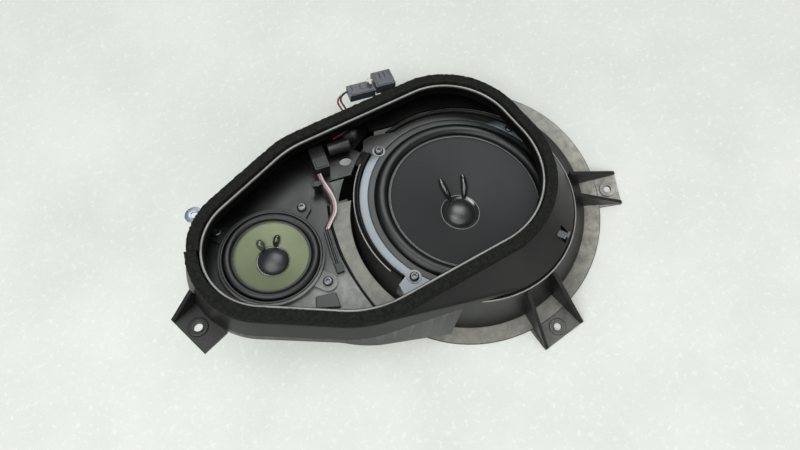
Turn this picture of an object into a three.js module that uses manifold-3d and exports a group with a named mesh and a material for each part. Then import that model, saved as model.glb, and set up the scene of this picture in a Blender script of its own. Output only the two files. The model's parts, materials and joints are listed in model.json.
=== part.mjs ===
// Two-way car door speaker pod: a round drum on a mounting flange carries the woofer, and an egg-shaped
// collar on the drum carries the small midrange driver, the wiring and the foam gasket.
// Millimetres, +Z up. The origin is the bottom centre of the whole pod.
import * as THREE from 'three';
import { mergeVertices } from 'three/addons/utils/BufferGeometryUtils.js';
import Module from 'manifold-3d';

const wasm = await Module();
wasm.setup();

// ---------------------------------------------------------------- driving dimensions
const FIT = 0.3; // clearance left between parts that rest on each other
const AROUND = 32; // segments of the large round parts
const SMALL_AROUND = 20;
const HULL_POINTS = 48; // points round the egg-shaped outlines

// mounting flange and drum; the middle of the flange stands this far from the origin
const FLANGE_PLACE = new THREE.Vector3(46.1, 0.91, 0);
const FLANGE_RADIUS = 108;
const FLANGE_THICK = 3;
const DRUM_BASE_RADIUS = 95;
const DRUM_RIM_RADIUS = 80.5;
const DRUM_WALL = 2.5;
const WOOFER_OPENING = 71;
const SCREW_RADIUS = 2;
const DRUM_RIM_HEIGHT = 4; // above the woofer's cone edge, along the woofer axis

// the baffle frame, placed from the middle of the flange: origin on the woofer axis, level with its
// cone edge, +Z along that axis
const WOOFER_CENTRE = new THREE.Vector3(-4, -2, 51.5);
const BAFFLE_PITCH = THREE.MathUtils.degToRad(12.3);
const BAFFLE_ROLL = THREE.MathUtils.degToRad(-10);
const MID_OFFSET = new THREE.Vector3(-146.5, 0, 3.5); // small driver, in the baffle frame

// egg-shaped collar: every outline is the hull of discs [x, y, radius] in the baffle frame
const LIP_DISCS = [[-146.5, -1.5, 41], [-89, 2, 67], [1, 37, 50], [-7, 13, 63.5]];
const COLLAR_REACH = 11; // the outer wall's top stands this far outside the lip
const BASE_DISCS = [[-148, -1, 55], [-89, 2, 80.5], [1, 37, 64], [0, 0, DRUM_RIM_RADIUS]];
const COLLAR_WALL = 2.5;
const COLLAR_BASE = DRUM_RIM_HEIGHT + FIT;
const LEDGE_HEIGHT = 21.5; // the gasket lies on this ledge
const LIP_HEIGHT = 25;
const LIP_DROP = 8;
const GASKET_THICK = 6;
const PLATE_THICK = 2.5;
const PLATE_BORE = 87; // the plate ends at this radius round the woofer
const PLATE_CUTOUT = 33;
const EAR_RADIUS = 75.5; // woofer screws' circle
const EAR_ANGLES = [38, 128, 218, 308];
const LONG_EARS = [0, 1, -1, 0]; // the two towards the small driver reach further, each to its own side
const EAR_REACH = 91;
const PAD_WIDTH = 12;
const MID_EAR_RADIUS = 43;
const MID_EAR_ANGLES = [45, 135, 225, 315];

// skirt below the collar: level round the small end, then dropping towards the drum
const SKIRT_KINK = -120;
const SKIRT_SLOPE = 0.6;
const SKIRT_END = -38;
const SHELF_EDGE = 47;
const SHELF_END = -48;
const FAR_FLOOR_END = 30; // the far side's floor runs from the shelf round to here
const LIP_WIDTH = 2.6;
const CLIP_ANGLE = -47;

// loudspeakers, each in a frame with its origin level with its cone edge
const CONE_THICK = 0.8;
const SCREW_HEAD = 3.4;
const WOOFER_FLANGE = 78.5;
const WOOFER = {
  edge: 57.3,
  neck: 10.7,
  depth: 24,
  rollWidth: 11.6,
  rollHeight: 3.6,
  frameSeat: 71.8,
  capRadius: 12.4,
  capHeight: 5,
  coilRadius: 10,
  coilTop: -29.6,
  coilLength: 6,
  spiderRadius: 36.8,
  spiderHeight: -26.8,
  plateTop: -30.5,
  plateThick: 4,
  magnetThick: 6.2,
  backThick: 3.2,
  plateRadius: 28,
  magnetRadius: 29,
  leads: [102, 60],
  leadReach: 8.5,
  coneColour: 'darkCone',
  around: 28,
};
const MID_FLANGE = 36.5;
const MID = {
  edge: 27.3,
  neck: 7.6,
  depth: 11,
  rollWidth: 5.4,
  rollHeight: 2,
  frameSeat: 34.4,
  capRadius: 10.4,
  capHeight: 4.6,
  coilRadius: 7,
  coilTop: -15.2,
  coilLength: 4.5,
  spiderRadius: 19,
  spiderHeight: -13.6,
  plateTop: -16.5,
  plateThick: 3,
  magnetThick: 7,
  backThick: 3,
  plateRadius: 19,
  magnetRadius: 21,
  leads: [108, 62],
  leadReach: 4.6,
  coneColour: 'oliveCone',
  around: 20,
};

// wiring, in the baffle frame
const WIRE = 1.5;
const SOCKET_PLACE = [-23, 116, 13];
const PLUG_PLACE = [-42.5, 114, 11];
const OUTER_ROUTE = [
  [-54.6, 114, 11], [-59, 112, 11], [-62, 107, 11], [-61, 98, 11],
  [-60.5, 88, 10], [-66, 81, 8], [-76, 78.6, 6],
];
const OUTER_WIRES = [
  { name: 'harness_lead_red', colour: 'redWire', shift: -1.2 },
  { name: 'harness_lead_black', colour: 'blackWire', shift: 1.2 },
];
const INNER_ROUTE = [
  [-95, 51, 6], [-95.5, 44, 7], [-95, 35, 7], [-94.5, 26, 6], [-97, 17, 4],
  [-102, 9, 1.9], [-103.5, 0, 1.9], [-104.6, -10, 1.9], [-106.4, -23, 1.9],
];
const INNER_WIRES = [
  { name: 'inner_lead_white', colour: 'whiteWire', shift: 2.6 },
  { name: 'inner_lead_pink', colour: 'pinkWire', shift: 0.8 },
  { name: 'inner_lead_black', colour: 'blackWire', shift: -1 },
];

// mounting brackets: the angle of their middle, their outer width, and the hole in their foot
const FOOT_LENGTH = 17;
const GUSSET = 2.6;
const FOOT_HOLE = 3;
const DRUM_BRACKETS = [{ angle: -12, width: 28, tall: 34 }, { angle: -74.5, width: 37, tall: 62 }];
const EGG_BRACKET = { angle: 207.5, width: 32, radius: 53, reach: 20 };

// ---------------------------------------------------------------- colours
const COLOURS = {
  blackPlastic: [0x26282a, 0.55, 0],
  greyPlastic: [0x34373a, 0.5, 0],
  foam: [0x1d1d1c, 0.98, 0],
  basket: [0x5d646b, 0.5, 0.2],
  rubber: [0x131416, 0.6, 0],
  darkCone: [0x33353a, 0.7, 0],
  oliveCone: [0x7f8660, 0.6, 0],
  dustCap: [0x202123, 0.35, 0],
  paper: [0xb48a4a, 0.8, 0],
  copper: [0xa8623a, 0.35, 1],
  spiderCloth: [0xb58b3b, 0.9, 0],
  ferrite: [0x2b2b2d, 0.7, 0],
  zincSteel: [0x9da1a3, 0.35, 1],
  darkSteel: [0x3f4244, 0.4, 1],
  brightSteel: [0xa9b4bf, 0.28, 1],
  glue: [0x111111, 0.3, 0],
  whiteWire: [0xd8d4d0, 0.5, 0],
  pinkWire: [0xc09aa4, 0.5, 0],
  redWire: [0x9c2c2a, 0.5, 0],
  blackWire: [0x1a1a1c, 0.5, 0],
};

// ---------------------------------------------------------------- solids
function toSolid(geometry) {
  const bare = geometry.clone();
  bare.deleteAttribute('normal');
  bare.deleteAttribute('uv');
  const merged = mergeVertices(bare, 1e-4);
  const vertProperties = new Float32Array(merged.getAttribute('position').array);
  const triVerts = new Uint32Array(merged.getIndex().array);
  return new wasm.Manifold(new wasm.Mesh({ numProp: 3, vertProperties, triVerts }));
}

function toGeometry(solid) {
  const mesh = solid.getMesh();
  const geometry = new THREE.BufferGeometry();
  geometry.setAttribute('position', new THREE.BufferAttribute(new Float32Array(mesh.vertProperties), 3));
  geometry.setIndex(new THREE.BufferAttribute(new Uint32Array(mesh.triVerts), 1));
  return geometry;
}

function moved(geometry, x, y, z) {
  return geometry.clone().translate(x, y, z);
}

// joins the first solid with more solids, then cuts the last list away
function build(first, added = [], cut = []) {
  let solid = toSolid(first);
  for (const geometry of added) solid = solid.add(toSolid(geometry));
  for (const geometry of cut) solid = solid.subtract(toSolid(geometry));
  return toGeometry(solid);
}

// a solid turned from a closed profile of [radius, height] points, listed anticlockwise as seen with
// the axis on the left
function turned(profile, segments = AROUND) {
  const points = profile.map(([r, h]) => new THREE.Vector2(r, h));
  const closesOnAxis = points[0].x === 0 && points[points.length - 1].x === 0;
  if (!closesOnAxis) points.push(points[0].clone());
  const geometry = new THREE.LatheGeometry(points, segments);
  geometry.rotateX(Math.PI / 2);
  return geometry;
}

function ring(inner, outer, bottom, top, segments = AROUND) {
  return turned([[inner, bottom], [outer, bottom], [outer, top], [inner, top]], segments);
}

function disc(radius, bottom, top, segments = SMALL_AROUND) {
  return turned([[0, bottom], [radius, bottom], [radius, top], [0, top]], segments);
}

function block(width, depth, height, x, y, z) {
  return new THREE.BoxGeometry(width, depth, height).translate(x, y, z);
}

// an upright prism of a flat outline of Vector2 points
function prism(points, bottom, top) {
  const shape = new THREE.Shape(points);
  const geometry = new THREE.ExtrudeGeometry(shape, { depth: top - bottom, bevelEnabled: false });
  return geometry.translate(0, 0, bottom);
}

// a round bar or wire along a smooth curve through the points
function wire(points, diameter, steps) {
  const curve = new THREE.CatmullRomCurve3(points.map((p) => new THREE.Vector3(...p)), false, 'centripetal');
  const section = new THREE.Shape();
  section.absarc(0, 0, diameter / 2, 0, 2 * Math.PI);
  return new THREE.ExtrudeGeometry(section, { steps, curveSegments: 3, extrudePath: curve });
}

// the outline of the hull of discs, one point for each direction that its wall faces
function hullLoop(discs, offset, height) {
  const loop = [];
  for (let i = 0; i < HULL_POINTS; i += 1) {
    const angle = (2 * Math.PI * i) / HULL_POINTS;
    const nx = Math.cos(angle);
    const ny = Math.sin(angle);
    let best = discs[0];
    for (const d of discs) {
      if (d[0] * nx + d[1] * ny + d[2] > best[0] * nx + best[1] * ny + best[2]) best = d;
    }
    const x = best[0] + (best[2] + offset) * nx;
    const y = best[1] + (best[2] + offset) * ny;
    loop.push(new THREE.Vector3(x, y, typeof height === 'function' ? height(x, y) : height));
  }
  return loop;
}

// a closed skin over matching loops of points; a ring joins its last loop to its first
function loft(loops, isRing) {
  const count = loops[0].length;
  const positions = loops.flat().flatMap((p) => [p.x, p.y, p.z]);
  const index = [];
  const bands = isRing ? loops.length : loops.length - 1;
  for (let band = 0; band < bands; band += 1) {
    const low = band * count;
    const high = ((band + 1) % loops.length) * count;
    for (let i = 0; i < count; i += 1) {
      const j = (i + 1) % count;
      index.push(low + i, low + j, high + j, low + i, high + j, high + i);
    }
  }
  if (!isRing) {
    for (const [loop, isTop] of [[0, false], [loops.length - 1, true]]) {
      const middle = positions.length / 3;
      const sum = loops[loop].reduce((total, p) => total.add(p), new THREE.Vector3());
      positions.push(sum.x / count, sum.y / count, sum.z / count);
      for (let i = 0; i < count; i += 1) {
        const a = loop * count + i;
        const b = loop * count + ((i + 1) % count);
        if (isTop) index.push(a, b, middle);
        else index.push(b, a, middle);
      }
    }
  }
  const geometry = new THREE.BufferGeometry();
  geometry.setAttribute('position', new THREE.Float32BufferAttribute(positions, 3));
  geometry.setIndex(index);
  return geometry;
}

// ---------------------------------------------------------------- frames
const pod = new THREE.Group();
pod.name = 'door_speaker_pod';
const base = new THREE.Group();
base.position.copy(FLANGE_PLACE);
pod.add(base);
const baffle = new THREE.Group();
baffle.position.copy(WOOFER_CENTRE);
baffle.rotation.set(BAFFLE_ROLL, BAFFLE_PITCH, 0, 'YXZ');
const mid = new THREE.Group();
mid.position.copy(MID_OFFSET);
baffle.add(mid);
base.add(baffle);
pod.updateMatrixWorld(true);

function put(group, name, geometry, colour) {
  const [color, roughness, metalness] = COLOURS[colour];
  const mesh = new THREE.Mesh(geometry, new THREE.MeshStandardMaterial({ color, roughness, metalness }));
  mesh.name = name;
  group.add(mesh);
}

// a circle of the baffle frame, as points of the base frame
function baffleCircle(radius, height) {
  const loop = [];
  for (let i = 0; i < AROUND; i += 1) {
    const angle = (2 * Math.PI * i) / AROUND;
    const p = new THREE.Vector3(radius * Math.cos(angle), radius * Math.sin(angle), height);
    loop.push(p.applyMatrix4(baffle.matrix));
  }
  return loop;
}

function floorCircle(radius, height) {
  const loop = [];
  for (let i = 0; i < AROUND; i += 1) {
    const angle = (2 * Math.PI * i) / AROUND;
    loop.push(new THREE.Vector3(radius * Math.cos(angle), radius * Math.sin(angle), height));
  }
  return loop;
}

// moves a geometry between the two frames
function intoBase(geometry) {
  return geometry.clone().applyMatrix4(baffle.matrix);
}

function intoBaffle(geometry) {
  return geometry.clone().applyMatrix4(baffle.matrix.clone().invert());
}

// a copy laid out along +X, turned to its angle about Z
function turnedTo(geometry, degrees) {
  return geometry.clone().rotateZ(THREE.MathUtils.degToRad(degrees));
}

// ---------------------------------------------------------------- drum housing
// the room that the drum fills, from below the floor to its rim, for other parts to be cut by
function drumRoom(outset) {
  return loft([
    floorCircle(DRUM_BASE_RADIUS + outset, 0),
    baffleCircle(DRUM_RIM_RADIUS + outset, DRUM_RIM_HEIGHT),
  ], false);
}

// flange, tapered wall, beaded rim and the ledge for the woofer, in one skin
function drumShell() {
  const rim = DRUM_RIM_RADIUS;
  return loft([
    floorCircle(DRUM_BASE_RADIUS - DRUM_WALL, 0),
    floorCircle(FLANGE_RADIUS, 0),
    floorCircle(FLANGE_RADIUS, FLANGE_THICK),
    floorCircle(DRUM_BASE_RADIUS, FLANGE_THICK),
    baffleCircle(rim, 0),
    baffleCircle(rim + 2, 0),
    baffleCircle(rim + 2, DRUM_RIM_HEIGHT - 1.6),
    baffleCircle(rim + 0.2, DRUM_RIM_HEIGHT - 1.6),
    baffleCircle(rim + 0.2, DRUM_RIM_HEIGHT),
    baffleCircle(rim - 1.4, DRUM_RIM_HEIGHT),
    baffleCircle(rim - 1.4, -1 - FIT),
    baffleCircle(WOOFER_OPENING, -1 - FIT),
    baffleCircle(WOOFER_OPENING, -4),
    baffleCircle(rim - DRUM_WALL, -4),
  ], true);
}

// a U-shaped bracket along +X: a foot with a raised, drilled boss between two tapered gussets
function bracketParts(start, width, reach, tall, sides = [-1, 1]) {
  const end = start + reach;
  const middle = end - FOOT_LENGTH / 2;
  const parts = [block(FOOT_LENGTH + 2, width, FLANGE_THICK - 0.6, middle - 1, 0, FLANGE_THICK / 2 - 0.3)];
  for (const side of sides) {
    const gusset = new THREE.Shape([
      new THREE.Vector2(start, 0),
      new THREE.Vector2(end, 0),
      new THREE.Vector2(end, 4),
      new THREE.Vector2(start, tall),
    ]);
    const solid = new THREE.ExtrudeGeometry(gusset, { depth: GUSSET, bevelEnabled: false });
    solid.rotateX(Math.PI / 2);
    solid.translate(0, side > 0 ? width / 2 : -width / 2 + GUSSET, 0);
    parts.push(solid);
  }
  parts.push(moved(disc(6.5, 0, 3.6, 18), middle, 0, 0));
  const hole = moved(disc(FOOT_HOLE, -1, 8, 14), middle, 0, 0);
  const relief = moved(disc(4.6, 2.4, 8, 16), middle, 0, 0);
  return { parts, cuts: [hole, relief] };
}

function drumHousing() {
  const added = [];
  const cut = [];
  for (const { angle, width, tall } of DRUM_BRACKETS) {
    const start = DRUM_BASE_RADIUS - 14;
    const { parts, cuts } = bracketParts(start, width, FLANGE_RADIUS + FOOT_LENGTH - start, tall);
    added.push(...parts.map((g) => turnedTo(g, angle)));
    cut.push(...cuts.map((g) => turnedTo(g, angle)));
  }
  let solid = toSolid(build(added[0], added.slice(1)));
  const hollow = loft([
    floorCircle(DRUM_BASE_RADIUS - 1, -1),
    baffleCircle(DRUM_RIM_RADIUS - 1, DRUM_RIM_HEIGHT),
  ], false);
  solid = solid.subtract(toSolid(hollow)).add(toSolid(drumShell()));
  EAR_ANGLES.forEach((angle, i) => {
    const reach = LONG_EARS[i] ? EAR_REACH - 3 : 78;
    if (LONG_EARS[i]) {
      const notch = wooferEar(LONG_EARS[i], 0.8, -1 - FIT, 7);
      solid = solid.subtract(toSolid(intoBase(turnedTo(notch, angle))));
    }
    const pad = block(reach - 72, PAD_WIDTH, 9, (reach + 72) / 2, 0, -1 - FIT - 4.5);
    solid = solid.add(toSolid(intoBase(turnedTo(pad, angle))));
    const bore = moved(disc(SCREW_RADIUS + FIT, -15, 2, 16), EAR_RADIUS, 0, 0);
    solid = solid.subtract(toSolid(intoBase(turnedTo(bore, angle))));
  });
  for (const geometry of cut) solid = solid.subtract(toSolid(geometry));
  return toGeometry(solid);
}

// ---------------------------------------------------------------- egg collar
function skirtBottom(x) {
  return -PLATE_THICK - SKIRT_SLOPE * Math.max(0, Math.min(x, SKIRT_END) - SKIRT_KINK);
}

function collarShell() {
  const outline = (offset, height) => hullLoop(LIP_DISCS, offset, height);
  const underLedge = LEDGE_HEIGHT - COLLAR_WALL;
  return loft([
    hullLoop(BASE_DISCS, -COLLAR_WALL, COLLAR_BASE),
    hullLoop(BASE_DISCS, 0, COLLAR_BASE),
    outline(COLLAR_REACH, LEDGE_HEIGHT),
    outline(LIP_WIDTH, LEDGE_HEIGHT),
    outline(LIP_WIDTH, LIP_HEIGHT),
    outline(0, LIP_HEIGHT),
    outline(0, LIP_HEIGHT - LIP_DROP),
    outline(1.8, LIP_HEIGHT - LIP_DROP),
    outline(LIP_WIDTH, underLedge),
    outline(COLLAR_REACH - COLLAR_WALL, underLedge),
  ], true);
}

// the wall carried on downwards round the small end and along the near and far sides
function collarSkirt() {
  return loft([
    hullLoop(BASE_DISCS, -COLLAR_WALL, skirtBottom),
    hullLoop(BASE_DISCS, 0, skirtBottom),
    hullLoop(BASE_DISCS, 0, COLLAR_BASE + 0.5),
    hullLoop(BASE_DISCS, -COLLAR_WALL, COLLAR_BASE + 0.5),
  ], true);
}

// the plate that carries the small driver, with a shelf for the wiring along the far wall
function collarPlate() {
  const window = [[-90, 28], [-60, 28], [-60, SHELF_EDGE], [-90, SHELF_EDGE]];
  const cut = [
    prism(flat(window), -9, 9),
    disc(PLATE_BORE, -9, 9, AROUND),
    turnedTo(block(20, 44, 20, 83, 0, 0), EAR_ANGLES[1]),
    turnedTo(block(20, PAD_WIDTH + 2, 20, 80, 0, 0), EAR_ANGLES[2]),
    block(200, 300, 20, SHELF_END + 100, 0, 0),
    moved(disc(PLATE_CUTOUT, -9, 9), MID_OFFSET.x, MID_OFFSET.y, 0),
    moved(disc(4, -9, 9, 16).scale(1.25, 1, 1), -73, 60, 0),
  ];
  for (const [x, y] of midScrewPlaces()) cut.push(moved(disc(SCREW_RADIUS + FIT, -9, 9, 12), x, y, 0));
  return build(prism(baseOutline(), -PLATE_THICK, 0), [], cut);
}

// the floor between the far wall and the drum's rim
function farFloor() {
  return build(prism(baseOutline(), COLLAR_BASE, COLLAR_BASE + PLATE_THICK), [], [
    disc(DRUM_RIM_RADIUS + 0.7, -9, 19, AROUND),
    block(300, 300, 40, SHELF_END - 150, 0, 0),
    block(400, 300, 40, 0, FAR_FLOOR_END - 150, 0),
    block(32, 40, 40, SHELF_END + 16, 56, 0),
  ]);
}

function flat(points) {
  return points.map(([x, y]) => new THREE.Vector2(x, y));
}

function baseOutline() {
  return hullLoop(BASE_DISCS, -COLLAR_WALL / 2, 0).map((q) => new THREE.Vector2(q.x, q.y));
}

function midScrewPlaces() {
  return MID_EAR_ANGLES.map((degrees) => {
    const angle = THREE.MathUtils.degToRad(degrees);
    return [MID_OFFSET.x + MID_EAR_RADIUS * Math.cos(angle), MID_OFFSET.y + MID_EAR_RADIUS * Math.sin(angle)];
  });
}

function eggBracket() {
  const [x, y] = LIP_DISCS[0];
  const { parts, cuts } = bracketParts(EGG_BRACKET.radius, EGG_BRACKET.width, EGG_BRACKET.reach, 20, [-1]);
  const place = (g) => moved(turnedTo(g, EGG_BRACKET.angle), x, y, -PLATE_THICK);
  return { parts: parts.map(place), cuts: cuts.map(place) };
}

function eggCollar() {
  const bracket = eggBracket();
  const skirt = build(collarSkirt(), [], [
    block(200, 300, 200, SKIRT_END + 100, 0, 0),
    intoBaffle(drumRoom(2.6)),
  ]);
  let solid = toSolid(collarShell()).add(toSolid(skirt)).add(toSolid(collarPlate())).add(toSolid(farFloor()));
  for (const geometry of bracket.parts) solid = solid.add(toSolid(geometry));
  for (const geometry of bracket.cuts) solid = solid.subtract(toSolid(geometry));
  const earRoom = wooferEar(LONG_EARS[2], FIT, -1 - FIT, 1.5 + FIT);
  solid = solid.subtract(toSolid(turnedTo(earRoom, EAR_ANGLES[2])));
  // a slot near the rim for the retaining clip, and the hole that the harness comes in by
  solid = solid.subtract(toSolid(turnedTo(block(14, 9, 7, 72, 0, 9), CLIP_ANGLE)));
  solid = solid.subtract(toSolid(block(9, 30, 9, -60, 90, 10)));
  return toGeometry(solid);
}

function foamGasket() {
  const low = LEDGE_HEIGHT + FIT;
  const high = low + GASKET_THICK;
  return loft([
    hullLoop(LIP_DISCS, LIP_WIDTH + FIT, low),
    hullLoop(LIP_DISCS, COLLAR_REACH - 0.4, low),
    hullLoop(LIP_DISCS, COLLAR_REACH - 0.4, high),
    hullLoop(LIP_DISCS, LIP_WIDTH + FIT, high),
  ], true);
}

// ---------------------------------------------------------------- loudspeaker parts
// the height of a cone's face at a radius, from its edge down to its neck
function coneHeight(speaker, radius) {
  const { edge, neck, depth } = speaker;
  return FIT - depth * ((edge - radius) / (edge - neck)) ** 1.05;
}

function cone(speaker) {
  const { edge, neck } = speaker;
  const steps = 3;
  const face = [];
  for (let i = 0; i <= steps; i += 1) {
    const radius = edge + ((neck - edge) * i) / steps;
    face.push([radius, coneHeight(speaker, radius)]);
  }
  const back = face.map(([radius, height]) => [radius, height - CONE_THICK]).reverse();
  return turned([...back, ...face], speaker.around);
}

// a half roll between two flat glue flanges
function surround(speaker) {
  const { edge, rollWidth, rollHeight, frameSeat } = speaker;
  const skin = 0.7;
  const low = 2 * FIT;
  const middle = edge + rollWidth / 2;
  const outer = [];
  const inner = [];
  const steps = 5;
  for (let i = 0; i <= steps; i += 1) {
    const angle = (Math.PI * i) / steps;
    const wave = [Math.cos(angle), Math.sin(angle)];
    outer.push([middle + (rollWidth / 2 + skin / 2) * wave[0], low + skin + rollHeight * wave[1]]);
    inner.push([middle + (rollWidth / 2 - skin / 2) * wave[0], low + rollHeight * wave[1] + 0.001]);
  }
  inner.reverse();
  return turned([
    [edge - 1.6, low], ...inner, [frameSeat, low],
    [frameSeat, low + skin], ...outer, [edge - 1.6, low + skin],
  ], speaker.around);
}

function dustCap(speaker) {
  const { capRadius, capHeight } = speaker;
  const foot = coneHeight(speaker, capRadius) + FIT;
  const outer = [];
  const inner = [];
  const steps = 3;
  for (let i = 0; i <= steps; i += 1) {
    const angle = (Math.PI / 2) * (i / steps);
    outer.push([capRadius * Math.cos(angle), foot + capHeight * Math.sin(angle)]);
    inner.push([(capRadius - 0.9) * Math.cos(angle), foot + (capHeight - 0.8) * Math.sin(angle)]);
  }
  outer[steps][0] = 0;
  inner[steps][0] = 0;
  return turned([...inner.reverse(), ...outer], 20);
}

function spider(speaker) {
  const { coilRadius, spiderRadius, spiderHeight } = speaker;
  const steps = 6;
  const thick = 0.5;
  const face = [];
  for (let i = 0; i <= steps; i += 1) {
    const radius = coilRadius + 0.8 + ((spiderRadius - coilRadius - 0.8) * i) / steps;
    const isFlat = i === 0 || i >= steps - 1;
    face.push([radius, spiderHeight + (isFlat ? 0 : 0.9 * (i % 2 ? 1 : -0.2))]);
  }
  const top = face.map(([radius, height]) => [radius, height + thick]).reverse();
  return turned([...face, ...top], 16);
}

// the motor: a front plate, a ring magnet, and a back plate with its pole
function addMotor(group, prefix, speaker) {
  const { coilRadius, plateTop, plateThick, magnetThick, plateRadius, magnetRadius, backThick } = speaker;
  const magnetTop = plateTop - plateThick - FIT;
  const backTop = magnetTop - magnetThick - FIT;
  const gap = coilRadius + 1.5;
  const magnetInner = coilRadius + 4.5;
  const frontPlate = ring(gap, plateRadius, plateTop - plateThick, plateTop, 20);
  put(group, `${prefix}_front_plate`, frontPlate, 'zincSteel');
  const magnet = ring(magnetInner, magnetRadius, magnetTop - magnetThick, magnetTop, 20);
  put(group, `${prefix}_ring_magnet`, magnet, 'ferrite');
  const pole = coilRadius - 1.2;
  const vent = pole / 2.4;
  const back = turned([
    [vent, backTop - backThick],
    [plateRadius, backTop - backThick],
    [plateRadius, backTop],
    [pole, backTop],
    [pole, plateTop],
    [vent, plateTop],
  ], 20);
  put(group, `${prefix}_back_plate_and_pole`, back, 'zincSteel');
}

// everything that travels with the voice coil
function addMovingParts(group, prefix, speaker) {
  const { coilRadius, coilTop, coilLength, capRadius, neck } = speaker;
  put(group, `${prefix}_cone`, cone(speaker), speaker.coneColour);
  put(group, `${prefix}_dust_cap`, dustCap(speaker), 'dustCap');
  const formerTop = coneHeight(speaker, neck) + 1;
  const former = ring(coilRadius - 0.5, coilRadius - 0.1, coilTop - coilLength - 0.8, formerTop, 16);
  put(group, `${prefix}_coil_former`, former, 'paper');
  const coil = ring(coilRadius + 0.1, coilRadius + 0.9, coilTop - coilLength, coilTop, 16);
  put(group, `${prefix}_voice_coil`, coil, 'copper');
  const blobs = speaker.leads.map((degrees) => {
    const blob = new THREE.SphereGeometry(1, 8, 5).scale(4.2, 1.7, 1.5);
    const radius = capRadius + speaker.leadReach;
    const slope = Math.atan2(speaker.depth, speaker.edge - neck);
    blob.rotateY(-slope);
    return turnedTo(moved(blob, radius, 0, coneHeight(speaker, radius) + 2.1), degrees);
  });
  put(group, `${prefix}_lead_glue_left`, toGeometry(toSolid(blobs[0])), 'glue');
  put(group, `${prefix}_lead_glue_right`, toGeometry(toSolid(blobs[1])), 'glue');
  put(group, `${prefix}_surround`, surround(speaker), 'rubber');
  put(group, `${prefix}_spider`, spider(speaker), 'spiderCloth');
}

function screw(headTop, length) {
  return turned([
    [0, headTop - length],
    [SCREW_RADIUS, headTop - length + 1.5],
    [SCREW_RADIUS, headTop - 2.1],
    [SCREW_HEAD, headTop - 2.1],
    [SCREW_HEAD, headTop - 0.8],
    [SCREW_HEAD - 1, headTop],
    [0, headTop],
  ], 10);
}

// a fibre board with two riveted tags, standing off the basket
function terminalBoard(width, height) {
  return build(block(1.5, width, height, 0, 0, 0), [
    block(6, 3, 0.8, 3, width / 4, 0),
    block(6, 3, 0.8, 3, -width / 4, 0),
  ]);
}

// ---------------------------------------------------------------- woofer
// a corner ear along +X, its long slope on the clockwise side for side 1, from the bottom to the top height
function wooferEar(side, outset, bottom, top) {
  const points = [
    [70, -27 - outset],
    [88 + outset, -9 - outset],
    [EAR_REACH + outset, -2],
    [86 + outset, 6 + outset],
    [70, 5 + outset],
  ].map(([x, y]) => [x, y * side]);
  return prism(flat(side > 0 ? points : points.reverse()), bottom, top);
}

function wooferBasket() {
  const bottom = WOOFER.plateTop + FIT;
  const frame = turned([
    [22, bottom],
    [31, bottom],
    [39, bottom + 2],
    [66.5, -10],
    [70.3, -1],
    [WOOFER_FLANGE, -1],
    [WOOFER_FLANGE, 1.5],
    [WOOFER.frameSeat + 0.4, 1.5],
    [WOOFER.frameSeat + 0.4, FIT],
    [68.9, FIT],
    [68.9, -1.5],
    [65, -10.5],
    [37.4, WOOFER.spiderHeight - FIT],
    [33.5, WOOFER.spiderHeight - FIT],
    [32.5, bottom + 1.5],
    [22, bottom + 1.5],
  ], 28);
  const added = [];
  const cut = [];
  EAR_ANGLES.forEach((angle, i) => {
    if (LONG_EARS[i]) {
      const ear = build(wooferEar(LONG_EARS[i], 0, -1, 1.5), [], [disc(72.5, -3, 3, AROUND)]);
      added.push(turnedTo(ear, angle));
    }
    cut.push(turnedTo(moved(disc(SCREW_RADIUS + FIT, -9, 9, 14), EAR_RADIUS, 0, 0), angle));
  });
  for (let i = 0; i < 6; i += 1) cut.push(turnedTo(block(19, 24, 40, 52, 0, -22), 60 * i));
  return build(frame, added, cut);
}

function addWoofer() {
  put(baffle, 'woofer_basket', wooferBasket(), 'basket');
  addMovingParts(baffle, 'woofer', WOOFER);
  addMotor(baffle, 'woofer', WOOFER);
  put(baffle, 'woofer_terminal_board', turnedTo(moved(terminalBoard(16, 8), 70, 0, -13), 173), 'paper');
  EAR_ANGLES.forEach((angle, i) => {
    const place = moved(screw(3.9, 15), EAR_RADIUS, 0, 0);
    put(baffle, `woofer_screw_${i + 1}`, turnedTo(place, angle), 'darkSteel');
  });
}

// ---------------------------------------------------------------- small midrange driver
function midBasket() {
  const seat = -MID_OFFSET.z + FIT;
  const bottom = MID.plateTop + FIT;
  const frame = turned([
    [12, bottom],
    [20, bottom],
    [32, seat],
    [MID_FLANGE, seat],
    [MID_FLANGE, FIT + 0.6],
    [MID.frameSeat + 0.4, FIT + 0.6],
    [MID.frameSeat + 0.4, FIT],
    [32.6, FIT],
    [31, seat - 0.4],
    [20.4, bottom + 3],
    [19.4, MID.spiderHeight - FIT],
    [17, MID.spiderHeight - FIT],
    [16, bottom + 1.3],
    [12, bottom + 1.3],
  ], SMALL_AROUND);
  const added = [];
  const cut = [];
  for (const angle of MID_EAR_ANGLES) {
    const ear = build(block(14, 13, 2, MID_EAR_RADIUS - 5, 0, seat + 1), [
      moved(disc(6.5, seat, seat + 2, 14), MID_EAR_RADIUS, 0, 0),
    ], [disc(34.5, -9, 9, SMALL_AROUND)]);
    added.push(turnedTo(ear, angle));
    cut.push(turnedTo(moved(disc(SCREW_RADIUS + FIT, -9, 9, 12), MID_EAR_RADIUS, 0, 0), angle));
  }
  for (let i = 0; i < 4; i += 1) cut.push(turnedTo(block(6, 20, 10, 25.5, 0, bottom + 5.5), 90 * i));
  return build(frame, added, cut);
}

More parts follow.
